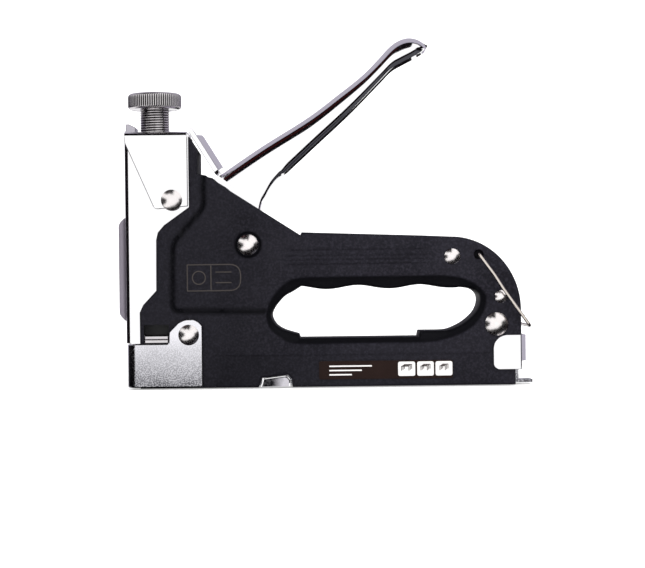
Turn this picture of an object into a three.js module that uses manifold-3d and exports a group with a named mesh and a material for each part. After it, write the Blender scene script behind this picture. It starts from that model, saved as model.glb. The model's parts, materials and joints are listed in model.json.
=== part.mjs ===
// Hand staple gun with a squeeze lever, built as an assembly of its separate pieces.
// Millimetres. The nose points to -X, up is +Z, and the two halves of the casing meet at Y = 0.
import * as THREE from 'three';
import { mergeVertices } from 'three/addons/utils/BufferGeometryUtils.js';
import Module from 'manifold-3d';

const wasm = await Module();
wasm.setup();

// ---------------------------------------------------------------- driving dimensions

const GAP = 0.3; // running clearance between pieces
const BASE_HALF = 12.8; // half width of the casing at its lower level
const PANEL_HALF = 13.5; // half width of the casing over its raised panel
const CAVITY_HALF = 11.5; // half width of the space inside the casing
const SLOT_HALF = 10; // half width of the slot that the lever swings in
const MAGAZINE_HALF = 7.4; // half width of the magazine channel
const HOUSING_HALF = 10.9; // half width of the steel nose housing
const HOUSING_WALL = 1.2;
const HOUSING_FRONT = -80;
const HOUSING_REAR = -54;
const PLATE_HALF = 4.9; // half width of the plate in front of the driver blade
const CAP_HALF = 12.4; // half width of the cap over the housing
const CAP_UNDERSIDE = 101.4;
const CAP_TOP = 102.6;
const LEVER_HALF = 9.3; // half width of the pressed lever
const LEVER_SHEET = 1.4;
const FINGER_PITCH = 25; // spacing of the finger grips
const PIVOT = { x: -30.7, z: 56.9 }; // the lever turns here
const BUSH_RADIUS = 4; // the tube around the pivot rivet
const LIFTER = { x: -56.07, z: 47.67, radius: 2.5, pin: 1.5 }; // 27 mm from the pivot, 20 degrees below level
const HAMMER_BOTTOM = 30.4;
const HAMMER_TOP = 54.5;
const ADJUSTER_X = -68.4; // axis of the tension screw and of the main spring
const CUP_BOTTOM = 90.5;
const CUP_TOP = 93;
const SCREW_RADIUS = 5.9; // threaded shank of the tension screw
const KNOB = { radius: 10.8, bottom: 112.3, top: 118.7 };
const ROD = { z: 11.5, radius: 1.5 }; // feed rod along the magazine
const MAGAZINE_FRONT = -75.8;
const MAGAZINE_REAR = 77;
const MAGAZINE_TOP = 17.4;
const RAIL_PIN = { x: 70, z: 3.8, radius: 0.9 };
const LABEL = { left: -3, right: 50.2, bottom: 3, top: 10.2, sheet: 0.2 };
const BAIL_PIVOT = { x: 61, z: 52 };
const WIRE_RADIUS = 0.7;

// Rivets: where they sit, the head's radius and rise, the shank's radius, and what they hold apart.
const RIVETS = {
  pivot: { x: PIVOT.x, z: PIVOT.z, head: 4.1, rise: 1.9, shank: 2.5, face: PANEL_HALF },
  nose: { x: -54.7, z: 21.3, head: 4.1, rise: 1.9, shank: 2, face: 14 },
  grip: { x: 50.5, z: 51.3, head: 3.15, rise: 1.4, shank: 1.6, face: PANEL_HALF },
  small_rear: { x: 69.7, z: 35.1, head: 2.55, rise: 1.2, shank: 1.3, face: PANEL_HALF },
  rear: { x: 67.8, z: 24.2, head: 4.4, rise: 2, shank: 2, face: PANEL_HALF },
};
const CAP_RIVET = { x: -61, z: 75.1, head: 4.2, rise: 1.6, shank: 2, face: CAP_HALF };

// ---------------------------------------------------------------- materials

const finish = (color, roughness, metalness) =>
  new THREE.MeshStandardMaterial({ color, roughness, metalness });

const MATERIALS = {
  casing: () => finish(0x24232a, 0.7, 0),
  chrome: () => finish(0xe6e4ea, 0.12, 1),
  satin_steel: () => finish(0xa9a8ac, 0.45, 1),
  dark_steel: () => finish(0x6d6a70, 0.4, 1),
  nickel: () => finish(0x8d8a92, 0.3, 1),
  pad_plastic: () => finish(0x7d7680, 0.6, 0),
  rubber: () => finish(0x151515, 0.9, 0),
  spring_steel: () => finish(0x9a9690, 0.35, 1),
  wire: () => finish(0xc9c2ba, 0.25, 1),
  label: () => finish(0x241410, 0.5, 0),
};

// ---------------------------------------------------------------- shape helpers

/** A closed three.js geometry as a manifold solid. */
function solid(geometry) {
  const bare = geometry.clone();
  bare.deleteAttribute('normal');
  bare.deleteAttribute('uv');
  const merged = mergeVertices(bare, 1e-4);
  const corners = merged.index.array;
  const kept = [];
  for (let i = 0; i < corners.length; i += 3) {
    const [a, b, c] = corners.slice(i, i + 3);
    if (a !== b && b !== c && c !== a) kept.push(a, b, c);
  }
  const vertProperties = Float32Array.from(merged.attributes.position.array);
  const triVerts = Uint32Array.from(kept);
  return new wasm.Manifold(new wasm.Mesh({ numProp: 3, vertProperties, triVerts }));
}

const join = (first, ...others) => others.reduce((sum, piece) => sum.add(piece), first);
const cut = (first, ...others) => others.reduce((rest, piece) => rest.subtract(piece), first);

/** An outline in the XZ plane from a list of [x, z] corners. */
function outline(corners) {
  return new THREE.Shape(corners.map(([x, z]) => new THREE.Vector2(x, z)));
}

/** An XZ outline extruded between two Y values, given in either order. */
function slab(shape, yA, yB, curveSegments = 6) {
  const shapeXZ = Array.isArray(shape) ? outline(shape) : shape;
  const depth = Math.abs(yB - yA);
  const geometry = new THREE.ExtrudeGeometry(shapeXZ, { depth, bevelEnabled: false, curveSegments });
  geometry.rotateX(Math.PI / 2);
  geometry.translate(0, Math.max(yA, yB), 0);
  return solid(geometry);
}

/** A box between two corners. */
function box(xLow, xHigh, yLow, yHigh, zLow, zHigh) {
  const geometry = new THREE.BoxGeometry(xHigh - xLow, yHigh - yLow, zHigh - zLow);
  geometry.translate((xLow + xHigh) / 2, (yLow + yHigh) / 2, (zLow + zHigh) / 2);
  return solid(geometry);
}

/** A box as wide on one side of Y = 0 as on the other. */
const centredBox = (xLow, xHigh, half, zLow, zHigh) => box(xLow, xHigh, -half, half, zLow, zHigh);

/** A round bar along Y. */
function crossBar(x, z, radius, yLow, yHigh, sides = 16) {
  const geometry = new THREE.CylinderGeometry(radius, radius, yHigh - yLow, sides);
  geometry.translate(x, (yLow + yHigh) / 2, z);
  return solid(geometry);
}

/** A round bar along Z. */
function column(x, radius, zLow, zHigh, sides = 32) {
  const geometry = new THREE.CylinderGeometry(radius, radius, zHigh - zLow, sides);
  geometry.rotateX(Math.PI / 2);
  geometry.translate(x, 0, (zLow + zHigh) / 2);
  return solid(geometry);
}

/** A round bar along X at the feed rod's height. */
function feedBar(xLow, xHigh, radius, sides = 16) {
  const geometry = new THREE.CylinderGeometry(radius, radius, xHigh - xLow, sides);
  geometry.rotateZ(Math.PI / 2);
  geometry.translate((xLow + xHigh) / 2, 0, ROD.z);
  return solid(geometry);
}

/** A round wire that follows a curve. */
function wire(curve, radius, steps, sides) {
  const corners = [];
  for (let i = 0; i < sides; i += 1) {
    const angle = (2 * Math.PI * i) / sides;
    corners.push([radius * Math.cos(angle), radius * Math.sin(angle)]);
  }
  const settings = { steps, extrudePath: curve, bevelEnabled: false };
  return solid(new THREE.ExtrudeGeometry(outline(corners), settings));
}

/** A path of straight runs through points, with each corner rounded off from `bend` before it. */
function bentPath(points, bend) {
  const path = new THREE.CurvePath();
  let from = points[0];
  for (let i = 1; i < points.length - 1; i += 1) {
    const corner = points[i];
    const into = corner.clone().lerp(points[i - 1], bend / corner.distanceTo(points[i - 1]));
    const out = corner.clone().lerp(points[i + 1], bend / corner.distanceTo(points[i + 1]));
    path.add(new THREE.LineCurve3(from, into));
    path.add(new THREE.QuadraticBezierCurve3(into, corner, out));
    from = out;
  }
  path.add(new THREE.LineCurve3(from, points[points.length - 1]));
  return path;
}

/** A helical centre line around an axis through `start` along unit vector `axis`. */
class Helix extends THREE.Curve {
  constructor(start, axis, length, radius, turns) {
    super();
    this.start = start;
    this.axis = axis;
    this.length = length;
    this.radius = radius;
    this.turns = turns;
    this.side = new THREE.Vector3(axis.z, axis.x, axis.y);
    this.other = new THREE.Vector3().crossVectors(axis, this.side);
  }

  getPoint(t, target = new THREE.Vector3()) {
    const angle = 2 * Math.PI * this.turns * t;
    return target
      .copy(this.start)
      .addScaledVector(this.axis, this.length * t)
      .addScaledVector(this.side, this.radius * Math.cos(angle))
      .addScaledVector(this.other, this.radius * Math.sin(angle));
  }
}

/** A named mesh from a manifold solid. */
function piece(name, shape, material) {
  const { vertProperties, triVerts } = shape.getMesh();
  const geometry = new THREE.BufferGeometry();
  geometry.setAttribute('position', new THREE.BufferAttribute(vertProperties, 3));
  geometry.setIndex(new THREE.BufferAttribute(triVerts, 1));
  geometry.computeVertexNormals();
  const mesh = new THREE.Mesh(geometry, MATERIALS[material]());
  mesh.name = name;
  return mesh;
}

// ---------------------------------------------------------------- casing halves

/** Side view of the whole casing, with its finger opening as a hole. */
function casingOutline() {
  const shape = outline([
    [-15.5, 4.9], [-25.7, 3.7], [-27.2, 0], // notch in the bottom edge
    [-74.3, 0], [-74.4, 30.4], [-73, 33.4], [-67.7, 39.1], // front edge behind the nose
    [-67.5, 59.3], [-66.8, 62.3], [-64.3, 65.2], [-54.3, 72.3],
    [-54.3, 100.7], [-50.6, 94.8], [-50.6, 85.2], // upstand behind the cap
    [-46.2, 84.1], [-42.5, 81.6], [-9.9, 60.6], [-9.4, 61.7], [37.9, 59.9], [50, 59.3], // top edge
  ]);
  shape.absellipse(50, 30, 27.8, 29.3, Math.PI / 2, 0, true);
  shape.lineTo(77.8, 6);
  shape.lineTo(75.3, 6);
  shape.lineTo(75.3, 0);
  shape.lineTo(-13.7, 0);
  shape.lineTo(-13.9, 3.2);
  shape.holes.push(fingerOpening());
  return shape;
}

/** Height of the wavy upper edge of the finger opening: one wave for each finger. */
const gripHeight = (x) => 39.6 + 0.75 * Math.cos((2 * Math.PI * (x - 13)) / FINGER_PITCH);

/** The finger opening: grips along the top, rounded ends and a flat bottom. */
function fingerOpening() {
  const WAVE_START = -9.9;
  const WAVE_END = 54;
  const WAVE_STEPS = 16;
  const points = [];
  for (let i = 0; i <= WAVE_STEPS; i += 1) {
    const x = WAVE_START + ((WAVE_END - WAVE_START) * i) / WAVE_STEPS;
    points.push([x, gripHeight(x)]);
  }
  points.push([58.6, 38.4], [61, 36.4], [61.6, 33.8], [60.9, 30.8], [59, 28]); // rear end
  points.push([54.8, 24.6], [49.4, 22.2], [45.3, 21.8], [37.4, 21.8], [36.9, 19.5], [-10.4, 19.5]);
  points.push([-11, 21], [-16.8, 22.8], [-20.2, 25.2], [-21.7, 28.6]); // front end
  points.push([-20.3, 32.2], [-16.7, 36.2], [-13.5, 38]);
  return outline(points.reverse());
}

/** Side view of the raised panel on the outside of the casing. */
const panelRegion = () => [
  [-48.3, 110], [-48.3, 71.9], [-60.7, 57.9], [-61.2, 33.5], [-58.7, 30.8],
  [-34, 30.5], [-30, -1], [90, -1], [90, 110],
];

/** Side view of the space inside the casing, with a wall left around the finger opening. */
function casingCavity() {
  const shape = outline([
    [-82, 2], [75.8, 2], [75.8, 29], [73, 39.5], [66, 49], [57, 55], [49, 56.8],
    [-10.5, 57.6], [-38, 75.4], [-46.5, 81.3], [-52.6, 82], [-52.6, 105], [-82, 105],
  ]);
  const wallLine = [
    [-12, 17.7], [-20, 20.8], [-24, 28.5], [-20.5, 36], [-12, 42.5], [0, 43],
    [54, 43], [61.4, 40.5], [64.6, 34.5], [61, 25.5], [53.6, 19.8], [46, 17.7],
  ];
  shape.holes.push(outline(wallLine));
  return shape;
}

/** One half of the casing; side is -1 for the left half and 1 for the right half. */
function casingHalf(side) {
  const whole = casingOutline();
  const base = slab(whole, 0, side * BASE_HALF);
  const panel = slab(whole, side * (BASE_HALF - 0.5), side * PANEL_HALF);
  const raised = panel.intersect(slab(panelRegion(), 0, side * PANEL_HALF));
  const slotRegion = [[-50.4, 60], [-9.7, 50], [-9.7, 100], [-50.4, 100]];
  const shanks = Object.values(RIVETS).map(({ x, z, shank }) =>
    crossBar(x, z, shank + GAP, -PANEL_HALF - 1, PANEL_HALF + 1));
  return cut(
    join(base, raised),
    slab(casingCavity(), -side, side * CAVITY_HALF),
    slab(slotRegion, -side, side * SLOT_HALF),
    centredBox(-82, 82, MAGAZINE_HALF + GAP, -1, MAGAZINE_TOP + GAP),
    centredBox(-72.7, -62.6, PANEL_HALF + 1, 18, 25.5), // window over the bumper
    crossBar(BAIL_PIVOT.x, BAIL_PIVOT.z, WIRE_RADIUS + 0.4, -PANEL_HALF - 1, PANEL_HALF + 1),
    ...shanks,
  );
}

// ---------------------------------------------------------------- steel nose

/** The folded steel housing that the hammer slides in: a front wall and two sides. */
function frontHousing() {
  const LOWER_FRONT = -78;
  const STEP = 18.6;
  const side = [
    [LOWER_FRONT, 2.3], [-50.5, 2.3], [-50.5, 27], [HOUSING_REAR, 27], [HOUSING_REAR, CAP_UNDERSIDE],
    [HOUSING_FRONT, CAP_UNDERSIDE], [HOUSING_FRONT, STEP], [LOWER_FRONT, STEP],
  ];
  const inside = HOUSING_HALF - HOUSING_WALL;
  const { nose } = RIVETS;
  return cut(
    slab(side, -HOUSING_HALF, HOUSING_HALF),
    centredBox(HOUSING_FRONT + HOUSING_WALL, -40, inside, -1, 110),
    centredBox(-73.2, -62.1, HOUSING_HALF + 1, 17.6, 25.9), // windows for the bumper retainer
    crossBar(nose.x, nose.z, nose.shank + GAP, -HOUSING_HALF - 1, HOUSING_HALF + 1),
    crossBar(CAP_RIVET.x, CAP_RIVET.z, CAP_RIVET.shank + GAP, -HOUSING_HALF - 1, HOUSING_HALF + 1),
  );
}

/** The cap over the housing, with two side flanges and a tongue bent down at the rear. */
function topCap() {
  const FLANGE_INNER = HOUSING_HALF + GAP;
  const flange = [
    [-79.8, CAP_TOP], [-79.7, 98.5], [-67.9, 71.9], [-66.9, 71.5], [-54.6, 72.6], [-54.6, CAP_TOP],
  ];
  const tongue = [[-56, CAP_TOP], [-56, CAP_UNDERSIDE], [-53.2, CAP_UNDERSIDE], [-43.6, 85.2],
    [-41.9, 86.2], [-51.9, CAP_TOP]];
  const rib = [[-53.5, CAP_TOP - 0.2], [-44, 86.2], [-41.9, 87.4], [-49.4, 100.1], [-51.4, CAP_TOP - 0.2]];
  const shell = cut(
    slab(flange, -CAP_HALF, CAP_HALF),
    centredBox(-90, -50, FLANGE_INNER, 0, CAP_UNDERSIDE),
    centredBox(-90, -75.4, PLATE_HALF + GAP, CAP_UNDERSIDE - 1, CAP_TOP + 1), // slot for the plate's tab
    column(ADJUSTER_X, SCREW_RADIUS + GAP, CAP_UNDERSIDE - 1, CAP_TOP + 1),
    crossBar(CAP_RIVET.x, CAP_RIVET.z, CAP_RIVET.shank + GAP, -CAP_HALF - 1, CAP_HALF + 1),
  );
  const TONGUE_HALF = 8;
  const RIB_HALF = 4.5;
  return join(shell, slab(tongue, -TONGUE_HALF, TONGUE_HALF), slab(rib, -RIB_HALF, RIB_HALF));
}

/** The hardened plate in front of the driver blade, with a bent tab above the cap. */
function frontPlate() {
  const profile = [
    [-78.2, 1], [-77.2, 1], [-77.2, 102.7], [-75.8, 102.7], [-75.8, 104.9], [-78.4, 106.2],
    [-79.8, 106.2], [-79.8, 103.6], [-80.4, 102.9], [-78.2, 102.7],
  ];
  return slab(profile, -PLATE_HALF, PLATE_HALF);
}

/** The plastic pad on the front of the housing. */
function frontPad() {
  const profile = [
    [HOUSING_FRONT, 26.5], [-82.9, 29.5], [-82.9, 66], [HOUSING_FRONT, 69],
  ];
  const PAD_HALF = 8;
  return slab(profile, -PAD_HALF, PAD_HALF);
}

/** The bracket wrapped around the foot of the nose, with an ear around the nose rivet. */
function noseBracket() {
  const BRACKET_OUTER = BASE_HALF + 1.2;
  const FRONT = -79.5;
  const side = outline([[FRONT, 0.5], [-49.2, 0.5]]);
  side.absarc(RIVETS.nose.x, RIVETS.nose.z, 6.3, 0.51, Math.PI - 0.86, false);
  side.lineTo(-62.7, 22.1);
  side.lineTo(-62.8, 17.9);
  side.lineTo(FRONT, 17.9);
  const { nose } = RIVETS;
  return cut(
    slab(side, -BRACKET_OUTER, BRACKET_OUTER),
    centredBox(FRONT + 1.2, -40, BASE_HALF, -1, 40),
    crossBar(nose.x, nose.z, nose.shank + GAP, -BRACKET_OUTER - 1, BRACKET_OUTER + 1),
  );
}

// ---------------------------------------------------------------- rivets and spacers

/** Profile of a rivet from its middle out to the top of one domed head. */
function rivetProfile(shank, head, start, face, rise) {
  const DOME_STEPS = 3;
  const points = [[0, start], [shank, start], [shank, face], [head, face]];
  for (let i = 1; i < DOME_STEPS; i += 1) {
    const angle = (Math.PI / 2) * (i / DOME_STEPS);
    points.push([head * Math.cos(angle), face + rise * Math.sin(angle)]);
  }
  points.push([0, face + rise]);
  return points.map(([r, y]) => new THREE.Vector2(r, y));
}

/** One half of a rivet, turned to point along +Y or -Y. */
function rivetHalf({ x, z, head, rise, shank, face }, side, start) {
  const geometry = new THREE.LatheGeometry(rivetProfile(shank, head, start, face, rise), 16);
  if (side < 0) geometry.rotateX(Math.PI);
  geometry.translate(x, 0, z);
  return solid(geometry);
}

/** A rivet right through the tool, with a domed head on both sides. */
const throughRivet = (rivet) => join(rivetHalf(rivet, 1, -1), rivetHalf(rivet, -1, -1));

/** A tube around a rivet that keeps the casing halves apart. */
function spacer({ x, z, shank }, outerRadius, half) {
  return cut(
    crossBar(x, z, outerRadius, -half, half),
    crossBar(x, z, shank + GAP, -half - 1, half + 1),
  );
}

// ---------------------------------------------------------------- lever

/** The lever's upper line in the side view, from the cap to the grip's end. */
const LEVER_TOP = [
  [-45.2, 83.1], [-41.8, 85.5], [-25.5, 96.4], [-6.7, 107.9], [5.8, 117.1], [15.2, 124.4],
  [21.5, 130.6], [26.5, 136], [30.3, 138.8], [34.6, 140], [39, 139], [42.3, 136.6],
];

/** The lever's lower line, from the grip's end back to the casing. */
const LEVER_UNDERSIDE = [
  [41.2, 134.6], [38, 132.8], [31.9, 129.7], [27.8, 127.3], [22.9, 122.4], [10.6, 110],
  [-2.9, 97.7], [-15.2, 86.5], [-17.6, 85], [-20.7, 81.6], [-23.4, 77], [-25.3, 73.3],
];

/** Moves a line of points down to its right-hand side by a distance. */
function offsetLine(points, distance) {
  return points.map(([x, z], i) => {
    const [xa, za] = points[Math.max(i - 1, 0)];
    const [xb, zb] = points[Math.min(i + 1, points.length - 1)];
    const length = Math.hypot(xb - xa, zb - za);
    return [x + (distance * (zb - za)) / length, z - (distance * (xb - xa)) / length];
  });
}

/** The pressed channel lever: a crown, two sides and two arms that reach the lifter pin. */
function lever() {
  const side = outline([
    ...LEVER_TOP, ...LEVER_UNDERSIDE,
    [-24, 64], [-23.9, 56], [-27, 50.8], // rear edge inside the casing
    [-55.5, 43.7], [-58.7, 44.7], [-60.07, 47.67], [-58.7, 50.6], // arm around the lifter pin
    [-46, 55.5], [-42.5, 62], [-45.5, 71], [-47.5, 80],
  ]);
  const under = offsetLine(LEVER_TOP, LEVER_SHEET);
  const [, frontZ] = under[0];
  const inside = [[-75, frontZ], ...under, [50, 120], [50, 30], [-75, 30]];
  return cut(
    slab(side, -LEVER_HALF, LEVER_HALF),
    slab(inside, -LEVER_HALF + LEVER_SHEET, LEVER_HALF - LEVER_SHEET),
    crossBar(PIVOT.x, PIVOT.z, BUSH_RADIUS + GAP, -LEVER_HALF - 1, LEVER_HALF + 1),
    crossBar(LIFTER.x, LIFTER.z, LIFTER.pin + GAP, -LEVER_HALF - 1, LEVER_HALF + 1),
  );
}

/** The roller on the lifter pin that pushes the hammer up. */
function lifterRoller() {
  const ROLLER_HALF = 7.5;
  return cut(
    crossBar(LIFTER.x, LIFTER.z, LIFTER.radius, -ROLLER_HALF, ROLLER_HALF),
    crossBar(LIFTER.x, LIFTER.z, LIFTER.pin + GAP, -ROLLER_HALF - 1, ROLLER_HALF + 1),
  );
}

/** The light spring around the pivot that brings the lever back. */
function returnSpring() {
  const HALF = 3.6;
  const start = new THREE.Vector3(PIVOT.x, -HALF, PIVOT.z);
  return wire(new Helix(start, new THREE.Vector3(0, 1, 0), 2 * HALF, 5.4, 5), 0.5, 60, 5);
}

// ---------------------------------------------------------------- hammer and main spring

const LUG = { half: 2, bottom: 44, top: 48 }; // the hammer's lug that carries the blade

/** The hammer: a sliding block with a ledge for the lifter and a lug for the blade. */
function hammer() {
  const profile = [
    [-76, HAMMER_BOTTOM], [-60.8, HAMMER_BOTTOM], [-60.8, 50.5], [-53.5, 50.5],
    [-53.5, HAMMER_TOP], [-76, HAMMER_TOP],
  ];
  const LEDGE_HALF = 7.5;
  const block = slab(profile, -LEDGE_HALF, LEDGE_HALF);
  const lug = centredBox(-77, -75, LUG.half, LUG.bottom, LUG.top);
  const spigot = column(ADJUSTER_X, 4.4, HAMMER_TOP - 1, HAMMER_TOP + 6, 20);
  return join(block, lug, spigot);
}

/** The driver blade, hooked over the hammer's lug. */
function driverBlade() {
  const BLADE_HALF = 5.6;
  return cut(
    centredBox(-77, -76, BLADE_HALF, 1, 52),
    centredBox(-78, -75, LUG.half + GAP, LUG.bottom - GAP, LUG.top + GAP),
  );
}

/** The main spring between the hammer and the spring cup. */
function mainSpring() {
  const SPRING_WIRE = 1;
  const start = new THREE.Vector3(ADJUSTER_X, 0, HAMMER_TOP + SPRING_WIRE + 0.1);
  const length = CUP_BOTTOM - HAMMER_TOP - 2 * SPRING_WIRE - 0.2;
  return wire(new Helix(start, new THREE.Vector3(0, 0, 1), length, 6.4, 5.5), SPRING_WIRE, 72, 6);
}

// ---------------------------------------------------------------- tension adjuster

/** The nut under the cap that the tension screw turns in. */
function adjusterNut() {
  const nut = column(ADJUSTER_X, 9.4, CUP_TOP + 1, CAP_UNDERSIDE, 6);
  return cut(nut, column(ADJUSTER_X, SCREW_RADIUS + GAP, CUP_TOP, CAP_UNDERSIDE + 1));
}

/** The cup that carries the top of the main spring. */
const springCup = () => column(ADJUSTER_X, 7.8, CUP_BOTTOM, CUP_TOP);

/** The tension screw: a round head with chamfered rims on a thick threaded shank. */
function tensionScrew() {
  const { radius, bottom, top } = KNOB;
  const CHAMFER = 0.8;
  const profile = [
    [0, CUP_TOP], [SCREW_RADIUS - 0.7, CUP_TOP], [SCREW_RADIUS, CUP_TOP + 0.7],
    [SCREW_RADIUS, bottom], [radius - CHAMFER, bottom],
    [radius, bottom + CHAMFER], [radius, top - CHAMFER], [radius - CHAMFER, top], [0, top],
  ].map(([r, z]) => new THREE.Vector2(r, z));
  const geometry = new THREE.LatheGeometry(profile, 40);
  geometry.rotateX(Math.PI / 2);
  geometry.translate(ADJUSTER_X, 0, 0);
  return solid(geometry);
}

// ---------------------------------------------------------------- bumper

const RETAINER_TOP = 21;

/** The block that stops the hammer. */
const bumper = () => centredBox(-74.5, -61.8, 7.5, RETAINER_TOP, HAMMER_BOTTOM - GAP);

/** The plate under the bumper, whose ends show in the windows of the casing. */
const bumperRetainer = () => centredBox(-72.4, -63, BASE_HALF - 0.6, 18.1, RETAINER_TOP);

// ---------------------------------------------------------------- magazine

/** The hole for the rail pin through the channel and the rail. */
const railPinHole = () => crossBar(RAIL_PIN.x, RAIL_PIN.z, RAIL_PIN.radius + 0.1, -10, 10, 12);

/** The upside-down channel that guides the staples from outside. */
function magazineChannel() {
  return cut(
    centredBox(MAGAZINE_FRONT, MAGAZINE_REAR, MAGAZINE_HALF, 2.3, MAGAZINE_TOP),
    centredBox(MAGAZINE_FRONT - 1, MAGAZINE_REAR + 1, MAGAZINE_HALF - 1.1, 0, MAGAZINE_TOP - 1),
    railPinHole(),
  );
}

/** The upright channel that the staples sit astride, with a tail tab for hanging the tool. */
function stapleRail() {
  const RAIL_HALF = 4.6;
  const TAIL_END = 82.9;
  return cut(
    join(
      centredBox(MAGAZINE_FRONT, MAGAZINE_REAR, RAIL_HALF, 0.4, 14),
      centredBox(MAGAZINE_REAR - 1, TAIL_END, RAIL_HALF, 0.4, 1.6),
    ),
    centredBox(MAGAZINE_FRONT - 1, MAGAZINE_REAR + 1, RAIL_HALF - 1, 1.6, 20),
    railPinHole(),
    column(80.6, 1.5, -1, 3, 16),
  );
}

/** The pin that holds the rail in the channel. */
const railPin = () => crossBar(RAIL_PIN.x, RAIL_PIN.z, RAIL_PIN.radius, -MAGAZINE_HALF, MAGAZINE_HALF, 12);

/** The strap that hangs the magazine in the casing, with a lug on each side. */
function magazineBracket() {
  const STRAP = 1.2;
  const outer = MAGAZINE_HALF + STRAP;
  const strap = cut(
    centredBox(-26, -20, outer, 1.5, MAGAZINE_TOP + STRAP),
    centredBox(-27, -19, MAGAZINE_HALF, 0, MAGAZINE_TOP),
  );
  const lug = (side) => slab(
    [[-25.6, 1.5], [-14.4, 1.5], [-14.4, 2.8], [-15.9, 4.5], [-25.1, 3.4]],
    side * (MAGAZINE_HALF + GAP), side * (BASE_HALF - 0.4),
  );
  return join(strap, lug(-1), lug(1));
}

/** The pusher that drives the staples forward: a saddle over the rail and a core on the rod. */
function staplePusher() {
  const FRONT = MAGAZINE_FRONT;
  const REAR = -64;
  const SADDLE_HALF = 6;
  const CORE_HALF = 3.3;
  const saddle = cut(
    centredBox(FRONT, REAR, SADDLE_HALF, 5, 16.1),
    centredBox(FRONT - 1, REAR + 1, SADDLE_HALF - 1.1, 4, 14.3),
  );
  const core = centredBox(FRONT, REAR, CORE_HALF, 8.6, 14.5);
  return cut(join(saddle, core), feedBar(FRONT - 1, REAR + 1, ROD.radius + GAP));
}

/** The rod that the pusher slides on. */
const feedRod = () => feedBar(MAGAZINE_FRONT + 0.8, 78.3, ROD.radius);

/** The long light spring around the rod, behind the pusher. */
function feedSpring() {
  const TURNS = 18;
  const STEPS_PER_TURN = 8;
  const LENGTH = 140.8;
  const start = new THREE.Vector3(-63.2, 0, ROD.z);
  const coil = new Helix(start, new THREE.Vector3(1, 0, 0), LENGTH, 2.4, TURNS);
  return wire(coil, 0.35, TURNS * STEPS_PER_TURN, 4);
}

/** The clip around the rear of the casing that carries the feed rod. */
function rearClip() {
  const CLIP_INNER = PANEL_HALF + GAP;
  const CLIP_OUTER = CLIP_INNER + 1;
  const FOLD_INNER = 78.3;
  const FOLD_OUTER = 79.5;
  const side = outline([[68.9, 6.2], [78, 6.2], [78.3, 9.5], [FOLD_OUTER, 9.5], [FOLD_OUTER, 19.8]]);
  side.lineTo(71.9, 19.8);
  side.absarc(71.9, 14.3, 5.5, Math.PI / 2, Math.PI, false);
  side.absarc(68.9, 8.7, 2.5, Math.PI, 1.5 * Math.PI, false);
  return cut(
    slab(side, -CLIP_OUTER, CLIP_OUTER, 4),
    centredBox(60, FOLD_INNER, CLIP_INNER, 0, 30),
  );
}

// ---------------------------------------------------------------- lock bail and label

/** The wire bail that holds the squeezed lever down. */
function lockBail() {
  const LEG = 15.9;
  const { x, z } = BAIL_PIVOT;
  const leg = [
    [x, -12.2, z], [x, -LEG, z], [67, -LEG, 43.8], [70.5, -LEG, 38.2], [80.8, -LEG, 23.5],
  ];
  const otherLeg = leg.map(([px, py, pz]) => [px, -py, pz]).reverse();
  const route = [...leg, ...otherLeg].map(([px, py, pz]) => new THREE.Vector3(px, py, pz));
  return wire(bentPath(route, 1.6), WIRE_RADIUS, 60, 6);
}

/** The label on the left half of the casing. */
const label = () =>
  box(LABEL.left, LABEL.right, -PANEL_HALF - LABEL.sheet, -PANEL_HALF, LABEL.bottom, LABEL.top);

// ---------------------------------------------------------------- assembly

const group = (...pieces) => new THREE.Group().add(...pieces);

const casing = group(
  piece('left_shell', casingHalf(-1), 'casing'),
  piece('right_shell', casingHalf(1), 'casing'),
  piece('label', label(), 'label'),
);

const nose = group(
  piece('front_housing', frontHousing(), 'chrome'),
  piece('top_cap', topCap(), 'chrome'),
  piece('front_plate', frontPlate(), 'satin_steel'),
  piece('front_pad', frontPad(), 'pad_plastic'),
  piece('nose_bracket', noseBracket(), 'satin_steel'),
  piece('bumper', bumper(), 'rubber'),
  piece('bumper_retainer', bumperRetainer(), 'chrome'),
);

const rivets = group(
  ...Object.entries(RIVETS).map(([name, rivet]) => piece(`${name}_rivet`, throughRivet(rivet), 'chrome')),
  piece('left_cap_rivet', rivetHalf(CAP_RIVET, -1, HOUSING_HALF - HOUSING_WALL), 'chrome'),
  piece('right_cap_rivet', rivetHalf(CAP_RIVET, 1, HOUSING_HALF - HOUSING_WALL), 'chrome'),
  piece('pivot_bush', spacer(RIVETS.pivot, BUSH_RADIUS, CAVITY_HALF - 0.2), 'dark_steel'),
  piece('nose_spacer', spacer(RIVETS.nose, 3.4, HOUSING_HALF - HOUSING_WALL), 'dark_steel'),
  piece('grip_spacer', spacer(RIVETS.grip, 3, CAVITY_HALF), 'dark_steel'),
  piece('rear_spacer', spacer(RIVETS.rear, 3.6, CAVITY_HALF), 'dark_steel'),
);

const leverGroup = group(
  piece('lever', lever(), 'chrome'),
  piece('lifter_pin', crossBar(LIFTER.x, LIFTER.z, LIFTER.pin, -LEVER_HALF, LEVER_HALF), 'dark_steel'),
  piece('lifter_roller', lifterRoller(), 'dark_steel'),
  piece('return_spring', returnSpring(), 'spring_steel'),
);

const hammerGroup = group(
  piece('hammer', hammer(), 'dark_steel'),
  piece('driver_blade', driverBlade(), 'satin_steel'),
  piece('main_spring', mainSpring(), 'spring_steel'),
);

const adjuster = group(
  piece('adjuster_nut', adjusterNut(), 'dark_steel'),
  piece('spring_cup', springCup(), 'dark_steel'),
  piece('tension_screw', tensionScrew(), 'nickel'),
);

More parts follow.
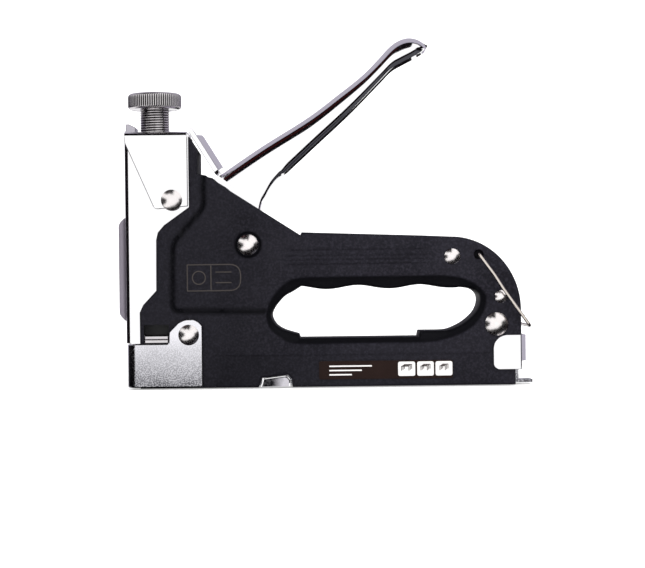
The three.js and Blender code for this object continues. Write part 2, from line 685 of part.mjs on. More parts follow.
const magazine = group(
  piece('magazine_channel', magazineChannel(), 'satin_steel'),
  piece('magazine_bracket', magazineBracket(), 'chrome'),
  piece('staple_rail', stapleRail(), 'satin_steel'),
  piece('rail_pin', railPin(), 'dark_steel'),
  piece('staple_pusher', staplePusher(), 'dark_steel'),
  piece('feed_rod', feedRod(), 'dark_steel'),
  piece('feed_spring', feedSpring(), 'spring_steel'),
  piece('rear_clip', rearClip(), 'chrome'),
);

const bail = group(piece('lock_bail', lockBail(), 'wire'));

const stapleGun = group(casing, nose, rivets, leverGroup, hammerGroup, adjuster, magazine, bail);
stapleGun.name = 'staple_gun';

export default stapleGun;
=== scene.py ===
# The looks of the hand staple gun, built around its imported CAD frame.
# Sizes below are in millimetres and become metres where a mesh is made.
import json
import math

import bmesh
import bpy
import numpy as np
from mathutils import Matrix, Vector
from mathutils.geometry import delaunay_2d_cdt


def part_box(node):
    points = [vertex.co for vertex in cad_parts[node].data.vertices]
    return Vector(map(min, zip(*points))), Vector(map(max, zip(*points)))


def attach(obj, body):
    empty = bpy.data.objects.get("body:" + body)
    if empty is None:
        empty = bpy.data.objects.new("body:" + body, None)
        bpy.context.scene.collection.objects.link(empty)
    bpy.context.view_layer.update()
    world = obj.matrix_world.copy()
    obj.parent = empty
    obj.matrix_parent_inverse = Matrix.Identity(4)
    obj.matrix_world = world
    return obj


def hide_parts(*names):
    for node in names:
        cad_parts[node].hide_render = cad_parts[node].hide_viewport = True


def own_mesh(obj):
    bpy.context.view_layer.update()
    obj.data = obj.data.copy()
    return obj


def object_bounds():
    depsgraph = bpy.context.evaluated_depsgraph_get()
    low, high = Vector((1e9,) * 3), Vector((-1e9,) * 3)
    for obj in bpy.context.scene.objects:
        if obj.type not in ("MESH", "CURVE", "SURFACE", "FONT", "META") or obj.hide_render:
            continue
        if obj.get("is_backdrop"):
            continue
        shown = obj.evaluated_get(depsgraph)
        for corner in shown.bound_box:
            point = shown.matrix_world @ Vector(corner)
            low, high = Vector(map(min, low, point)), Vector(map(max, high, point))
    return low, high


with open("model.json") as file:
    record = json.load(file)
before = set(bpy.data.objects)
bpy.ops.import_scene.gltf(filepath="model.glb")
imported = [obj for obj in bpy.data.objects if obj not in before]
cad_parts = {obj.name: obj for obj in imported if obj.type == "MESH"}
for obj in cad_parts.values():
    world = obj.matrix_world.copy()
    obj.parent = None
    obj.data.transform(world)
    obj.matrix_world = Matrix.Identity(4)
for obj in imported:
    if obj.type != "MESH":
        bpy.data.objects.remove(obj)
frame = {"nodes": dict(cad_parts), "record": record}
cad_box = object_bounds()

MM = 0.001
THROUGH = 20  # half length of a cutter that goes right through
ALONG_Y, UPRIGHT = (0, 1, 0), (0, 0, 1)
NODES = frame["nodes"]
BODY_OF = {n: body for body, members in frame["record"]["behaviour"]["bodies"].items() for n in members}
SLOT_OF = {n: o.data.materials[0].name.split(".")[0] for n, o in NODES.items()}

# ---- sizes of the casing and the lever

BASE_HALF = 12.8  # half width of the casing at its lower level
PANEL_HALF = 13.5  # half width over the raised panel
CAVITY_HALF = 11.5
SLOT_HALF = 10
MAGAZINE_HALF = 7.7
MAGAZINE_TOP = 17.7
FINGER_PITCH = 25
PIVOT = (-30.7, 56.9)
BAIL_PIVOT = (61, 52)
LEVER_HALF = 9.3
LEVER_SHEET = 1.4
LIFTER = (-56.07, 47.67)


def extent(node):
    """Lowest and highest corner of a CAD node's box, in millimetres."""
    low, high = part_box(node)
    return low / MM, high / MM


# ---- outlines in the XZ plane


def arc(x, z, radius_x, radius_z, start, end, steps):
    """Points on an ellipse between two angles in degrees."""
    angles = np.radians(np.linspace(start, end, steps + 1))
    return [(x + radius_x * math.cos(a), z + radius_z * math.sin(a)) for a in angles]


def curve_through(points, steps):
    """A Catmull-Rom curve through the points, with so many steps between two of them."""
    p = np.array([points[0], *points, points[-1]], float)
    out = []
    for i in range(1, len(p) - 2):
        a, b, c, d = p[i - 1], p[i], p[i + 1], p[i + 2]
        for t in np.arange(steps) / steps:
            out.append(0.5 * (2 * b + (c - a) * t + (2 * a - 5 * b + 4 * c - d) * t**2
                              + (3 * b - a - 3 * c + d) * t**3))
    out.append(p[-1])
    return [tuple(q) for q in out]


def subdivided(loop, step):
    """A closed loop with its long edges cut into pieces of about one step."""
    out = []
    for (xa, za), (xb, zb) in zip(loop, loop[1:] + loop[:1]):
        n = max(1, round(math.hypot(xb - xa, zb - za) / step))
        out += [(xa + (xb - xa) * i / n, za + (zb - za) * i / n) for i in range(n)]
    return out


def circle(x, z, radius, steps):
    """Points round a circle."""
    return arc(x, z, radius, radius, 0, 360, steps)[:-1]


def round_corner(before, here, after, size):
    """The curve in the place of a sharp corner, which starts and ends so far from it."""
    before, here, after = Vector(before), Vector(here), Vector(after)
    into, away = (before - here).normalized() * size, (after - here).normalized() * size
    return [tuple(here + into * (1 - t) ** 2 + away * t**2) for t in np.linspace(0, 1, 6)]


def rounded(loop, radii):
    """A closed loop with the listed corners rounded; radii maps a corner's index to its radius."""
    out = []
    for i, here in enumerate(loop):
        after = loop[(i + 1) % len(loop)]
        out += round_corner(loop[i - 1], here, after, radii[i]) if i in radii else [here]
    return out


def rounded_path(points, bend):
    """Straight runs through 3D points, with each corner turned into a curve."""
    path = [points[0]]
    for before, here, after in zip(points, points[1:], points[2:]):
        path += round_corner(before, here, after, bend)
    return [*path, points[-1]]


def rounded_rectangle(x_low, z_low, x_high, z_high, radius):
    corners = [(x_low, z_low), (x_high, z_low), (x_high, z_high), (x_low, z_high)]
    return rounded(corners, {i: radius for i in range(4)})


def casing_outline():
    """Side view of the casing."""
    notch = [(-15.5, 4.9), (-25.7, 3.7), (-27.2, 0)]
    front = [(-74.3, 0), (-74.4, 30.4), (-73, 33.4), (-67.7, 39.1), (-67.5, 59.3), (-66.8, 62.3),
             (-64.3, 65.2), (-54.3, 72.3)]
    upstand = [(-54.3, 100.7), (-50.6, 94.8)]
    ripples = curve_through([
        (-50.6, 85.4), (-47.5, 84.9), (-46.2, 84.1), (-44.5, 83.7), (-42.6, 82), (-39.4, 80),
        (-37.6, 78.5)], 3)
    grip = [(-9.9, 60.6), (-9.4, 61.7), (37.9, 59.9), (44, 59.6)]
    rear = arc(50, 30, 27.8, 29.3, 90, 0, 28)
    foot = [(77.8, 6), (75.3, 6), (75.3, 0), (-13.7, 0), (-13.9, 3.2)]
    return notch + front + upstand + ripples + grip + rear + foot


def finger_opening():
    """The finger opening: a wave for each finger along the top, rounded ends and a flat bottom."""
    xs = np.linspace(-9.9, 54, 60)
    wave = [(x, 39.6 + 0.75 * math.cos(2 * math.pi * (x - 13) / FINGER_PITCH)) for x in xs]
    rear = curve_through([
        wave[-1], (58.6, 38.4), (61, 36.4), (61.6, 33.8), (60.9, 30.8), (59, 28), (54.8, 24.6), (49.4, 22.2),
        (45.3, 21.8)], 5)[1:]
    bottom = [(37.4, 21.8), (36.9, 19.5), (-10.4, 19.5), (-11, 21)]
    front = curve_through([
        (-11, 21), (-16.8, 22.8), (-20.2, 25.2), (-21.7, 28.6), (-20.3, 32.2), (-16.7, 36.2), (-13.5, 38),
        wave[0]], 5)[1:-1]
    return wave + rear + bottom + front


PANEL_LINE = rounded([(-48.3, 84), (-48.3, 71.9), (-60.7, 57.9), (-61.2, 30.8), (-24.6, 30.4)],
                     {1: 2.5, 2: 3, 3: 3.2})
LEVER_TOP = curve_through([
    (-45.2, 83.1), (-41.8, 85.5), (-25.5, 96.4), (-6.7, 107.9), (5.8, 117.1), (15.2, 124.4), (21.5, 130.6),
    (26.5, 136), (30.3, 138.8), (34.6, 140), (39, 139), (42.3, 136.6)], 6)
LEVER_LOWER = curve_through([
    (-26.6, 66), (-25.3, 73.3), (-23.4, 77), (-20.7, 81.6), (-17.6, 85), (-15.2, 86.5), (-2.9, 97.7),
    (10.6, 110), (22.9, 122.4), (27.8, 127.3), (31.9, 129.7), (38, 132.8), (41.2, 134.6)], 6)
LEVER_ARM = [
    (-28, 74), (-24, 64), (-23.9, 56), (-27, 50.8), (-55.5, 43.7), (-58.7, 44.7), (-60.07, 47.67),
    (-58.7, 50.6), (-46, 55.5), (-42.5, 62), (-45.5, 71), (-47.5, 80), (-44.6, 83)]

# ---- distances and heights


CHUNK = 1500  # points worked on at once, to save memory


def segments(line, closed):
    """Starts and ends of a line's parts."""
    a = np.array(line, float)
    b = np.roll(a, -1, axis=0) if closed else a[1:]
    return a[: len(b)], b


def in_parts(work, points):
    """The results of some work on the points, done part by part."""
    return np.concatenate([work(points[i:i + CHUNK, None]) for i in range(0, len(points), CHUNK)])


def distance(points, line, closed=True):
    """Distance of each point from a line of points."""
    a, b = segments(line, closed)
    d = b - a

    def to_line(p):
        t = np.clip(((p - a) * d).sum(2) / np.maximum((d * d).sum(1), 1e-12), 0, 1)
        return np.linalg.norm(p - a - t[..., None] * d, axis=2).min(1)

    return in_parts(to_line, points)


def inside(points, loop):
    """Whether each point lies inside a closed loop."""
    a, b = segments(loop, True)
    rise = np.where(b[:, 1] == a[:, 1], 1, b[:, 1] - a[:, 1])

    def crossed_oddly(p):
        x, z = p[..., 0], p[..., 1]
        at = a[:, 0] + (z - a[:, 1]) / rise * (b[:, 0] - a[:, 0])
        return (((a[:, 1] > z) != (b[:, 1] > z)) & (x < at)).sum(1) % 2 == 1

    return in_parts(crossed_oddly, points)


def nearest(points, loops):
    """Distance of each point from the nearest of several closed loops."""
    return np.minimum.reduce([distance(points, loop) for loop in loops])


def between(points, loops):
    """Whether each point lies inside the first loop and outside the others."""
    keep = inside(points, loops[0])
    for hole in loops[1:]:
        keep &= ~inside(points, hole)
    return keep


def across(tangents):
    """Unit vectors at a right angle to the given ones."""
    normal = np.stack([tangents[:, 1], -tangents[:, 0]], 1)
    return normal / np.maximum(np.linalg.norm(normal, axis=1), 1e-9)[:, None]


def smooth_step(t):
    """Rises smoothly from 0 to 1 as t does."""
    t = np.clip(t, 0, 1)
    return t * t * (3 - 2 * t)


def within(x, start, end):
    """1 from start to end, fading to 0 in the 3 mm inside both."""
    return smooth_step((x - start) / 3) * smooth_step((end - x) / 3)


def groove(d, width):
    """1 in the middle of a groove, falling to 0 on both sides."""
    return np.exp(-((d / width) ** 2))


def round_edge(d, radius):
    """How far a rounded edge of this radius falls away at a distance from it."""
    s = np.clip(radius - d, 0, radius)
    return radius - np.sqrt(np.maximum(radius**2 - s**2, 0))


# ---- mesh helpers


def in_scene(name, data):
    """A new object in the scene."""
    obj = bpy.data.objects.new(name, data)
    bpy.context.scene.collection.objects.link(obj)
    return obj


def shade(obj, sharp):
    """Turns the faces outwards and shades them smooth, with sharp edges over an angle."""
    bm = bmesh.new()
    bm.from_mesh(obj.data)
    bmesh.ops.recalc_face_normals(bm, faces=bm.faces)
    bm.to_mesh(obj.data)
    bm.free()
    obj.data.shade_smooth()
    obj.data.set_sharp_from_angle(angle=math.radians(sharp))
    return obj


def mesh_object(name, verts, faces, sharp=35):
    """An object from points in millimetres."""
    mesh = bpy.data.meshes.new(name)
    mesh.from_pydata([tuple(c * MM for c in v) for v in verts], [], faces)
    mesh.update()
    return shade(in_scene(name, mesh), sharp)


def apply_modifiers(obj):
    """Turns the object's modifiers into its mesh."""
    depsgraph = bpy.context.evaluated_depsgraph_get()
    baked = bpy.data.meshes.new_from_object(obj.evaluated_get(depsgraph))
    obj.modifiers.clear()
    obj.data = baked


def carve(obj, cutters, sharp=35, operation="DIFFERENCE"):
    """Cuts other objects out of this one, and removes them."""
    for cutter in cutters:
        cut = obj.modifiers.new("cut", "BOOLEAN")
        cut.operation = operation
        cut.solver = "MANIFOLD"
        cut.object = cutter
    if cutters:
        apply_modifiers(obj)
    for cutter in cutters:
        bpy.data.objects.remove(cutter)
    return shade(obj, sharp)


def bevel(obj, radius, steps=3, angle=30):
    """Rounds the object's sharp edges."""
    rounder = obj.modifiers.new("bevel", "BEVEL")
    rounder.width = radius * MM
    rounder.segments = steps
    rounder.limit_method = "ANGLE"
    rounder.angle_limit = math.radians(angle)
    rounder.miter_outer = "MITER_ARC"
    weigh = obj.modifiers.new("weigh", "WEIGHTED_NORMAL")
    weigh.weight = 100
    weigh.keep_sharp = True
    apply_modifiers(obj)
    return obj


def loft(name, rings, sharp=35):
    """A skin over closed rings of 3D points, with both ends filled."""
    n = len(rings[0])
    verts = [p for ring in rings for p in ring]
    faces = [(k * n + i, k * n + (i + 1) % n, (k + 1) * n + (i + 1) % n, (k + 1) * n + i)
             for k in range(len(rings) - 1) for i in range(n)]
    last = (len(rings) - 1) * n
    faces += [tuple(range(n))[::-1], tuple(range(last, last + n))]
    return mesh_object(name, verts, faces, sharp)


def extrude(name, loop, axis, low, high):
    """A closed loop pushed along an axis: an x loop lies in YZ, a y loop in XZ and a z loop in XY."""
    spot = "xyz".index(axis)
    return loft(name, [[(*point[:spot], h, *point[spot:]) for point in loop] for h in (low, high)])


def prism(name, loop, y_low, y_high):
    """A side view, extruded from one Y to another."""
    return extrude(name, loop, "y", y_low, y_high)


def bent_sheet(name, bend, bend_axis, low, high, side_view, cutters, edge):
    """Sheet metal: its bent section pushed along an axis, and trimmed to its side view."""
    sheet = extrude(name, bend, bend_axis, low, high)
    carve(sheet, [prism("trim", side_view, -40, 40)], operation="INTERSECT")
    carve(sheet, list(cutters))
    return bevel(sheet, edge, 2, 40)


def block(name, low, high):
    """A plain box, used as a cutter."""
    (xa, ya, za), (xb, yb, zb) = low, high
    return prism(name, [(xa, za), (xb, za), (xb, zb), (xa, zb)], ya, yb)


def softened(node, radius, sharp=30):
    """A copy of a CAD node's mesh with its flat faces joined up and its edges rounded."""
    bm = bmesh.new()
    bm.from_mesh(NODES[node].data)
    bmesh.ops.remove_doubles(bm, verts=bm.verts, dist=2e-6)
    bmesh.ops.dissolve_limit(bm, angle_limit=math.radians(1), verts=bm.verts, edges=bm.edges)
    mesh = bpy.data.meshes.new(node + "_soft")
    bm.to_mesh(mesh)
    bm.free()
    return bevel(shade(in_scene(node + "_look", mesh), sharp), radius, 2, sharp)


def with_recess(obj, depths):
    """Stores how deep each point lies in a groove, for the material to paint shade there."""
    attribute = obj.data.attributes.new("recess", "FLOAT", "POINT")
    attribute.data.foreach_set("value", depths)
    return obj


def lathe(name, profile, place, axis, steps, sharp=35, wave=None):
    """A profile of (radius, height) turned about an axis, Y or Z; wave(angle, height) adds to the radius."""
    turn = Vector((0, 0, 1)).rotation_difference(Vector(axis)).to_matrix()
    verts, rings, depths = [], [], []
    for r, h in profile:
        ring = []
        for i in range(1 if r == 0 else steps):
            angle = 2 * math.pi * i / steps
            depths.append(-wave(angle, h) if wave and r else 0)
            radius = r - depths[-1]
            ring.append(len(verts))
            local = (radius * math.cos(angle), radius * math.sin(angle), h)
            verts.append(tuple(Vector(place) + turn @ Vector(local)))
        rings.append(ring)
    faces = []
    for low, high in zip(rings, rings[1:]):
        for i in range(steps):
            j = (i + 1) % steps
            corners = (low[i % len(low)], low[j % len(low)], high[j % len(high)], high[i % len(high)])
            faces.append(list(dict.fromkeys(corners)))
    obj = mesh_object(name, verts, faces, sharp)
    return with_recess(obj, depths) if wave else obj


def sweep(name, path, radius, sides):
    """A round wire along a list of points, with closed ends."""
    points = [Vector(p) for p in path]
    side = (points[1] - points[0]).orthogonal().normalized()
    angles = [2 * math.pi * i / sides for i in range(sides)]
    rings = []
    for k, point in enumerate(points):
        before, after = points[max(k - 1, 0)], points[min(k + 1, len(points) - 1)]
        tangent = (after - before).normalized()
        side = (side - tangent * side.dot(tangent)).normalized()
        other = tangent.cross(side)
        rings.append([point + radius * (math.cos(a) * side + math.sin(a) * other) for a in angles])
    return loft(name, rings, 60)


def relief(name, outline, holes, height, rings, grid, extra, inner, recess):
    """A half solid: flat near Y = 0, and shaped by height(points) on its +Y side.
    Its points lie on the loops, in rings beside them, on a grid and on the extra points."""
    loops = [subdivided(loop, 0.9) for loop in [outline, *holes]]
    fixed = [p for loop in loops for p in loop]
    edges, start = [], 0
    for loop in loops:
        n = len(loop)
        edges += [(start + i, start + (i + 1) % n) for i in range(n)]
        start += n
    loose = list(extra)
    for loop in loops:
        a = np.array(loop)
        normal = across(np.roll(a, -1, axis=0) - np.roll(a, 1, axis=0))
        for ring in rings:
            for sign in (-1, 1):
                moved = a + sign * ring * normal
                loose += list(moved[nearest(moved, loops) > 0.93 * ring])
    cloud = np.array(loops[0])
    xs = np.arange(cloud[:, 0].min(), cloud[:, 0].max(), grid)
    zs = np.arange(cloud[:, 1].min(), cloud[:, 1].max(), grid)
    lattice = np.array([(x + (grid / 2 if j % 2 else 0), z) for j, z in enumerate(zs) for x in xs])
    loose += list(lattice[nearest(lattice, loops) > rings[-1] + grid * 0.6])
    loose = np.array(loose)
    loose = loose[between(loose, loops)]
    flat, _, triangles, *_ = delaunay_2d_cdt([Vector(p) for p in [*fixed, *loose]], edges, [], 0, 0.02)
    flat, triangles = np.array(flat), np.array(triangles)
    triangles = triangles[between(flat[triangles].mean(1), loops)]
    used = np.unique(triangles)
    renumber = np.full(len(flat), -1)
    renumber[used] = np.arange(len(used))
    flat, triangles = flat[used], renumber[triangles]
    n = len(flat)
    verts = [(x, h, z) for (x, z), h in zip(flat, height(flat))]
    verts += [(x, inner, z) for x, z in flat]
    front = [tuple(int(i) for i in t) for t in triangles]
    sides = {(a, b): None for t in front for a, b in zip(t, t[1:] + t[:1])}
    faces = front + [tuple(i + n for i in t[::-1]) for t in front]
    faces += [(b, a, a + n, b + n) for a, b in sides if (b, a) not in sides]
    return with_recess(mesh_object(name, verts, faces), np.tile(recess(flat), 2))


# ---- materials


class Shader:
    """Small helper to lay out one procedural material."""

    def __init__(self, name, metallic=0):
        self.material = bpy.data.materials.new(name)
        self.material.use_nodes = True
        self.tree = self.material.node_tree
        self.bsdf = self.tree.nodes["Principled BSDF"]
        self.bsdf.inputs["Metallic"].default_value = metallic
        self.place = self.add("ShaderNodeTexCoord").outputs["Object"]

    def feed(self, socket, value):
        """Links another node's output to a socket, or sets it to a number, a list or a colour (a tuple)."""
        if isinstance(value, bpy.types.NodeSocket):
            self.tree.links.new(value, socket)
        else:
            socket.default_value = (*value, 1) if isinstance(value, tuple) else value

    def add(self, kind, inputs=None, **settings):
        node = self.tree.nodes.new(kind)
        for key, value in settings.items():
            setattr(node, key, value)
        for key, value in (inputs or {}).items():
            self.feed(node.inputs[key], value)
        return node

    def noise(self, per_mm, detail=3, streak=(1, 1, 1)):
        """Noise in object space, with so many cells in a millimetre."""
        scale = [per_mm / MM * share for share in streak]
        place = self.add("ShaderNodeMapping", {"Vector": self.place, "Scale": scale}).outputs["Vector"]
        return self.add("ShaderNodeTexNoise", {"Vector": place, "Scale": 1, "Detail": detail}).outputs["Fac"]

    def ramp(self, value, low, high, start=0.3, end=0.7):
        """The value, which runs from start to end, spread from low to high."""
        inputs = {"Value": value, "From Min": start, "From Max": end, "To Min": low, "To Max": high}
        return self.add("ShaderNodeMapRange", inputs).outputs["Result"]

    def mix(self, factor, first, second):
        """A colour between two colours."""
        inputs = {"Factor": factor, "A": first, "B": second}
        return self.add("ShaderNodeMix", inputs, data_type="RGBA").outputs["Result"]

    def math(self, operation, first, second):
        return self.add("ShaderNodeMath", {0: first, 1: second}, operation=operation).outputs["Value"]

    def edges(self, amount, start=0.53):
        """Bright on edges that hands and benches rub against."""
        pointy = self.add("ShaderNodeNewGeometry").outputs["Pointiness"]
        worn = self.ramp(pointy, 0, amount, start, start + 0.09)
        return self.math("MULTIPLY", worn, self.ramp(self.noise(0.6), 0.2, 1, 0.35, 0.65))

    def along(self, axis):
        """Position along an axis of the object."""
        return self.add("ShaderNodeSeparateXYZ", {"Vector": self.place}).outputs[axis]

    def recess(self):
        """Depth of a groove, as with_recess stores it."""
        return self.add("ShaderNodeAttribute", attribute_name="recess").outputs["Fac"]

    def bump(self, height, strength, depth_mm):
        inputs = {"Height": height, "Strength": strength, "Distance": depth_mm * MM}
        return self.add("ShaderNodeBump", inputs).outputs["Normal"]

    def finish(self, colour, roughness, normal):
        for key, value in (("Base Color", colour), ("Roughness", roughness), ("Normal", normal)):
            self.feed(self.bsdf.inputs[key], value)
        return self.material


def painted_metal(name, dark, light, roughness, hollow, raised):
    """A dull coating with a fine grain, darker with painted shade in its grooves and towards the nose, paler
    on raised lines.
    """
    s = Shader(name)
    s.bsdf.inputs["Specular IOR Level"].default_value = 0.07
    cloud = s.ramp(s.noise(0.035, 4), 0, 1)
    grain = s.noise(1.3, 2)
    colour = s.mix(cloud, dark, light)
    colour = s.mix(s.ramp(grain, 0, 0.55, 0.42, 0.7), colour, tuple(2 * c for c in light))
    # painted shade: darker towards the nose, and darker by the depth of the grooves and of the band round the
    # finger opening
    colour = s.mix(s.ramp(s.along("X"), 0.34, 0, -0.035, 0.01), colour, hollow)
    colour = s.mix(s.ramp(s.recess(), 0, 0.9, 0.05, 0.7), colour, hollow)
    colour = s.mix(s.ramp(s.recess(), 1, 0, -0.5, -0.1), colour, raised)
    rough = s.ramp(s.noise(0.12, 4), roughness - 0.06, roughness + 0.06)
    return s.finish(colour, rough, s.bump(grain, 0.5, 0.03))


def plated_metal(name, colour, tint, roughness, spread, streak=(1, 1, 1), grain=0.6, depth=0.003, painted_shade=None):
    """Bare or plated metal, with faint smudges and polishing marks, and painted shade in its hollows."""
    s = Shader(name, metallic=1)
    marks = s.noise(grain, 4, streak)
    smudge = s.noise(0.04, 5)
    base = s.mix(s.ramp(smudge, 0, 1), colour, tint)
    base = s.mix(s.edges(0.35), base, tuple(min(1, c * 1.12) for c in colour))
    # painted shade in the knurls and thread grooves, by the depth that with_recess stores
    if painted_shade:
        base = s.mix(s.ramp(s.recess(), 0, 0.95, 0.03, 0.22), base, painted_shade)
    rough = s.math("ADD", s.ramp(smudge, roughness, roughness + spread, 0.35, 0.7),
                   s.ramp(marks, 0, spread / 2))
    return s.finish(base, rough, s.bump(marks, 0.35, depth))


def speckled_steel(name, dark, light, roughness, start, end, axis, specks):
    """Rolled steel with a salt-and-pepper grain, and painted shade that brightens from one place to another
    in mm.
    """
    s = Shader(name, metallic=1)
    speck = s.noise(2.3, 1)
    wavy = s.math("ADD", s.along(axis), s.ramp(s.noise(0.08, 4), -0.002, 0.002))
    # painted shade: dark at start, brightening towards light at end along the axis
    base = s.mix(s.ramp(wavy, 0, 0.9, start * MM, end * MM), dark, light)
    base = s.mix(s.ramp(speck, 0, specks, 0.47, 0.58), base, light)
    rough = s.ramp(speck, roughness - 0.04, roughness + 0.08)
    return s.finish(base, rough, s.bump(speck, 0.4, 0.01))


def moulded(name, dark, light, roughness, grain, depth, gloss=0.5):
    """Moulded plastic or rubber with a soft grain."""
    s = Shader(name)
    s.bsdf.inputs["Specular IOR Level"].default_value = gloss
    grain_value = s.noise(grain, 3)
    colour = s.mix(s.ramp(s.noise(0.07, 3), 0, 1), dark, light)
    colour = s.mix(s.edges(0.3), colour, light)
    rough = s.ramp(s.noise(0.2, 3), roughness - 0.05, roughness + 0.07)
    return s.finish(colour, rough, s.bump(grain_value, 0.4, depth))


MATERIALS = {
    # casing: its fourth colour is the painted shade of its grooves and of its front
    "casing": painted_metal("casing_paint", (0.0072, 0.0067, 0.01), (0.0145, 0.0136, 0.0188), 0.52,
                            (0.003, 0.003, 0.0042), (0.055, 0.048, 0.045)),
    "label": moulded("label_film", (0.013, 0.0065, 0.0055), (0.017, 0.0085, 0.007), 0.45, 0.8, 0.004, 0.08),
    "chrome": plated_metal("chrome_plate", (0.965, 0.955, 0.965), (0.92, 0.915, 0.935), 0.05, 0.05),
    # satin_steel: painted shade at the foot of the nose bracket, brightening towards its top
    "satin_steel": speckled_steel("nose_steel_painted_shade", (0.07, 0.07, 0.08), (0.92, 0.91, 0.96), 0.14, 1, 21, "Z",
                                  0.42),
    # the lugs' dark faces: painted shade, black on the left and brightening to the right
    "lug_painted_shade": speckled_steel("lug_painted_shade", (0.004, 0.004, 0.005), (0.66, 0.64, 0.69), 0.1, -22, -18.5, "X",
                                0.12),
    "dark_steel": plated_metal("dark_steel", (0.2, 0.2, 0.21), (0.3, 0.295, 0.3), 0.34, 0.1, (1, 1, 6), 0.5,
                               0.006),
    "rivet": plated_metal("rivet_plate", (0.95, 0.905, 0.895), (0.88, 0.83, 0.83), 0.2, 0.05),
    "tab": plated_metal("nose_plate", (0.5, 0.48, 0.53), (0.42, 0.4, 0.45), 0.25, 0.08),
    # nickel: painted shade in its knurls and thread grooves
    "nickel": plated_metal("nickel_plate", (0.72, 0.69, 0.7), (0.52, 0.5, 0.52), 0.08, 0.06,
                           painted_shade=(0.02, 0.018, 0.02)),
    "spring_steel": plated_metal("spring_steel", (0.42, 0.415, 0.42), (0.54, 0.53, 0.52), 0.22, 0.1, grain=1,
                                 depth=0.004),
    "wire": plated_metal("bail_wire", (0.72, 0.66, 0.6), (0.6, 0.55, 0.5), 0.12, 0.08),
    "pad_plastic": moulded("pad_plastic", (0.165, 0.145, 0.18), (0.2, 0.178, 0.215), 0.6, 1, 0.01),
    "rubber": moulded("bumper_rubber", (0.011, 0.011, 0.012), (0.02, 0.02, 0.021), 0.7, 2, 0.03),
    "print": moulded("label_print", (0.74, 0.72, 0.71), (0.82, 0.8, 0.79), 0.42, 0.6, 0.004),
    "ink": moulded("label_ink", (0.016, 0.007, 0.005), (0.024, 0.01, 0.008), 0.35, 0.6, 0.004),
}
STOOD_FOR = set()  # CAD nodes that a piece already stands for


def dress(obj, material, node, stands_for_it=True):
    """Gives a piece its material, and the body of a CAD node, which it may stand for."""
    obj.data.materials.clear()
    obj.data.materials.append(MATERIALS[material])
    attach(obj, BODY_OF[node])
    if stands_for_it:
        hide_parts(node)
        STOOD_FOR.add(node)


def mirrored(obj, name):
    """A copy of the piece on the other side of the middle plane."""
    mesh = obj.data.copy()
    mesh.transform(Matrix.Diagonal((1, -1, 1, 1)))
    return shade(in_scene(name, mesh), 35)


def joined(name, pieces):
    """Several objects as one."""
    bm = bmesh.new()
    for obj in pieces:
        bm.from_mesh(obj.data)
        bpy.data.objects.remove(obj)
    mesh = bpy.data.meshes.new(name)
    bm.to_mesh(mesh)
    bm.free()
    return in_scene(name, mesh)


# ---- the casing

BAND = curve_through([
    (-24.3, 28.3), (-22.8, 34), (-19, 39.4), (-13.8, 43.2), (-6, 44.2), (14, 44.3), (34, 44.3), (48, 44.2),
    (56, 42.6), (61.5, 39.2), (64.3, 35.2), (63.4, 29.6), (60.1, 24.5), (56.6, 21.6), (52.4, 19.5),
    (46, 17.6), (40, 16.8), (14, 16.8), (-12, 16.8), (-18.5, 19.6), (-22.8, 23.2), (-24.3, 28.3)], 5)[:-1]
GRIP_LINES = (54.5, 52.2, 50.6, 48.9)
GRIP_FROM, GRIP_TO = -17.5, 42.5
STEP_Z = 12.7
BADGE = rounded([(-55, 38.8), (-33.8, 38.8), (-33.8, 49.2), (-55, 49.2)], {1: 4.5, 2: 4.5})


def badge_relief(points):
    """A blank moulded badge: a frame, a divider, a ring and two bars."""
    to_rings = nearest(points, [BADGE, circle(-50.4, 44, 2.6, 24)])
    bars = [[(-45.6, 39.4), (-45.6, 48.6)], [(-43.6, 46.2), (-37.6, 46.2)], [(-43.6, 42), (-37.6, 42)]]
    to_bars = np.minimum.reduce([distance(points, bar, closed=False) for bar in bars])
    return 0.28 * groove(np.minimum(to_rings, to_bars), 0.26)


def casing_level(points):
    """Half width of the casing without its fine lines: a base and a raised panel."""
    x, z = points[:, 0], points[:, 1]
    to_line = distance(points, PANEL_LINE, closed=False)
    above = inside(points, [*PANEL_LINE, (95, 30.4), (95, 120), (-48.3, 120)])
    panel = np.where(above, smooth_step(to_line / 1.1 + 0.1), 0)
    panel = np.where(above & (x > -24.6), 1, panel)
    panel = np.maximum(panel, smooth_step((x + 48) / 24) * (z < 30.4))
    return BASE_HALF + (PANEL_HALF - BASE_HALF) * panel


def casing_recess(points):
    """How deep each point lies in the casing's grooves and in the band round the finger opening."""
    x, z = points[:, 0], points[:, 1]
    deep = 0.95 * groove(distance(points, PANEL_LINE, closed=False), 1.05)
    below_step = 0.16 * smooth_step((STEP_Z - z) / 0.5 + 0.5) + 0.14 * groove(z - STEP_Z, 0.35)
    deep += below_step * within(x, -46, 67)
    to_band, to_hole = distance(points, BAND), distance(points, finger_opening())
    share = to_band / np.maximum(to_band + to_hole, 1e-6)
    deep += np.where(inside(points, BAND), smooth_step(to_band / 1.6) + 1.6 * share**1.5, 0)
    for line in GRIP_LINES:
        deep += 0.24 * within(x, GRIP_FROM, GRIP_TO) * groove(z - line, 0.28)
    deep += 0.9 * groove(np.hypot(x - PIVOT[0], z - PIVOT[1]) - 4.8, 0.55)
    deep += 1.6 * smooth_step((2 - np.hypot(x - BAIL_PIVOT[0], z - BAIL_PIVOT[1])) / 0.4)
    to_rim = distance(points, casing_outline())
    return deep + 0.25 * groove(to_rim - 3.4, 0.4) * smooth_step((x - 50) / 6) * smooth_step((z - 36) / 8)


def casing_height(points):
    """Half width of the casing at each point of its side view."""
    h = casing_level(points) - casing_recess(points) + badge_relief(points)
    h -= np.where(inside(points, BAND), round_edge(distance(points, finger_opening()), 1.1), 0)
    return h - round_edge(distance(points, casing_outline()), 1.5)


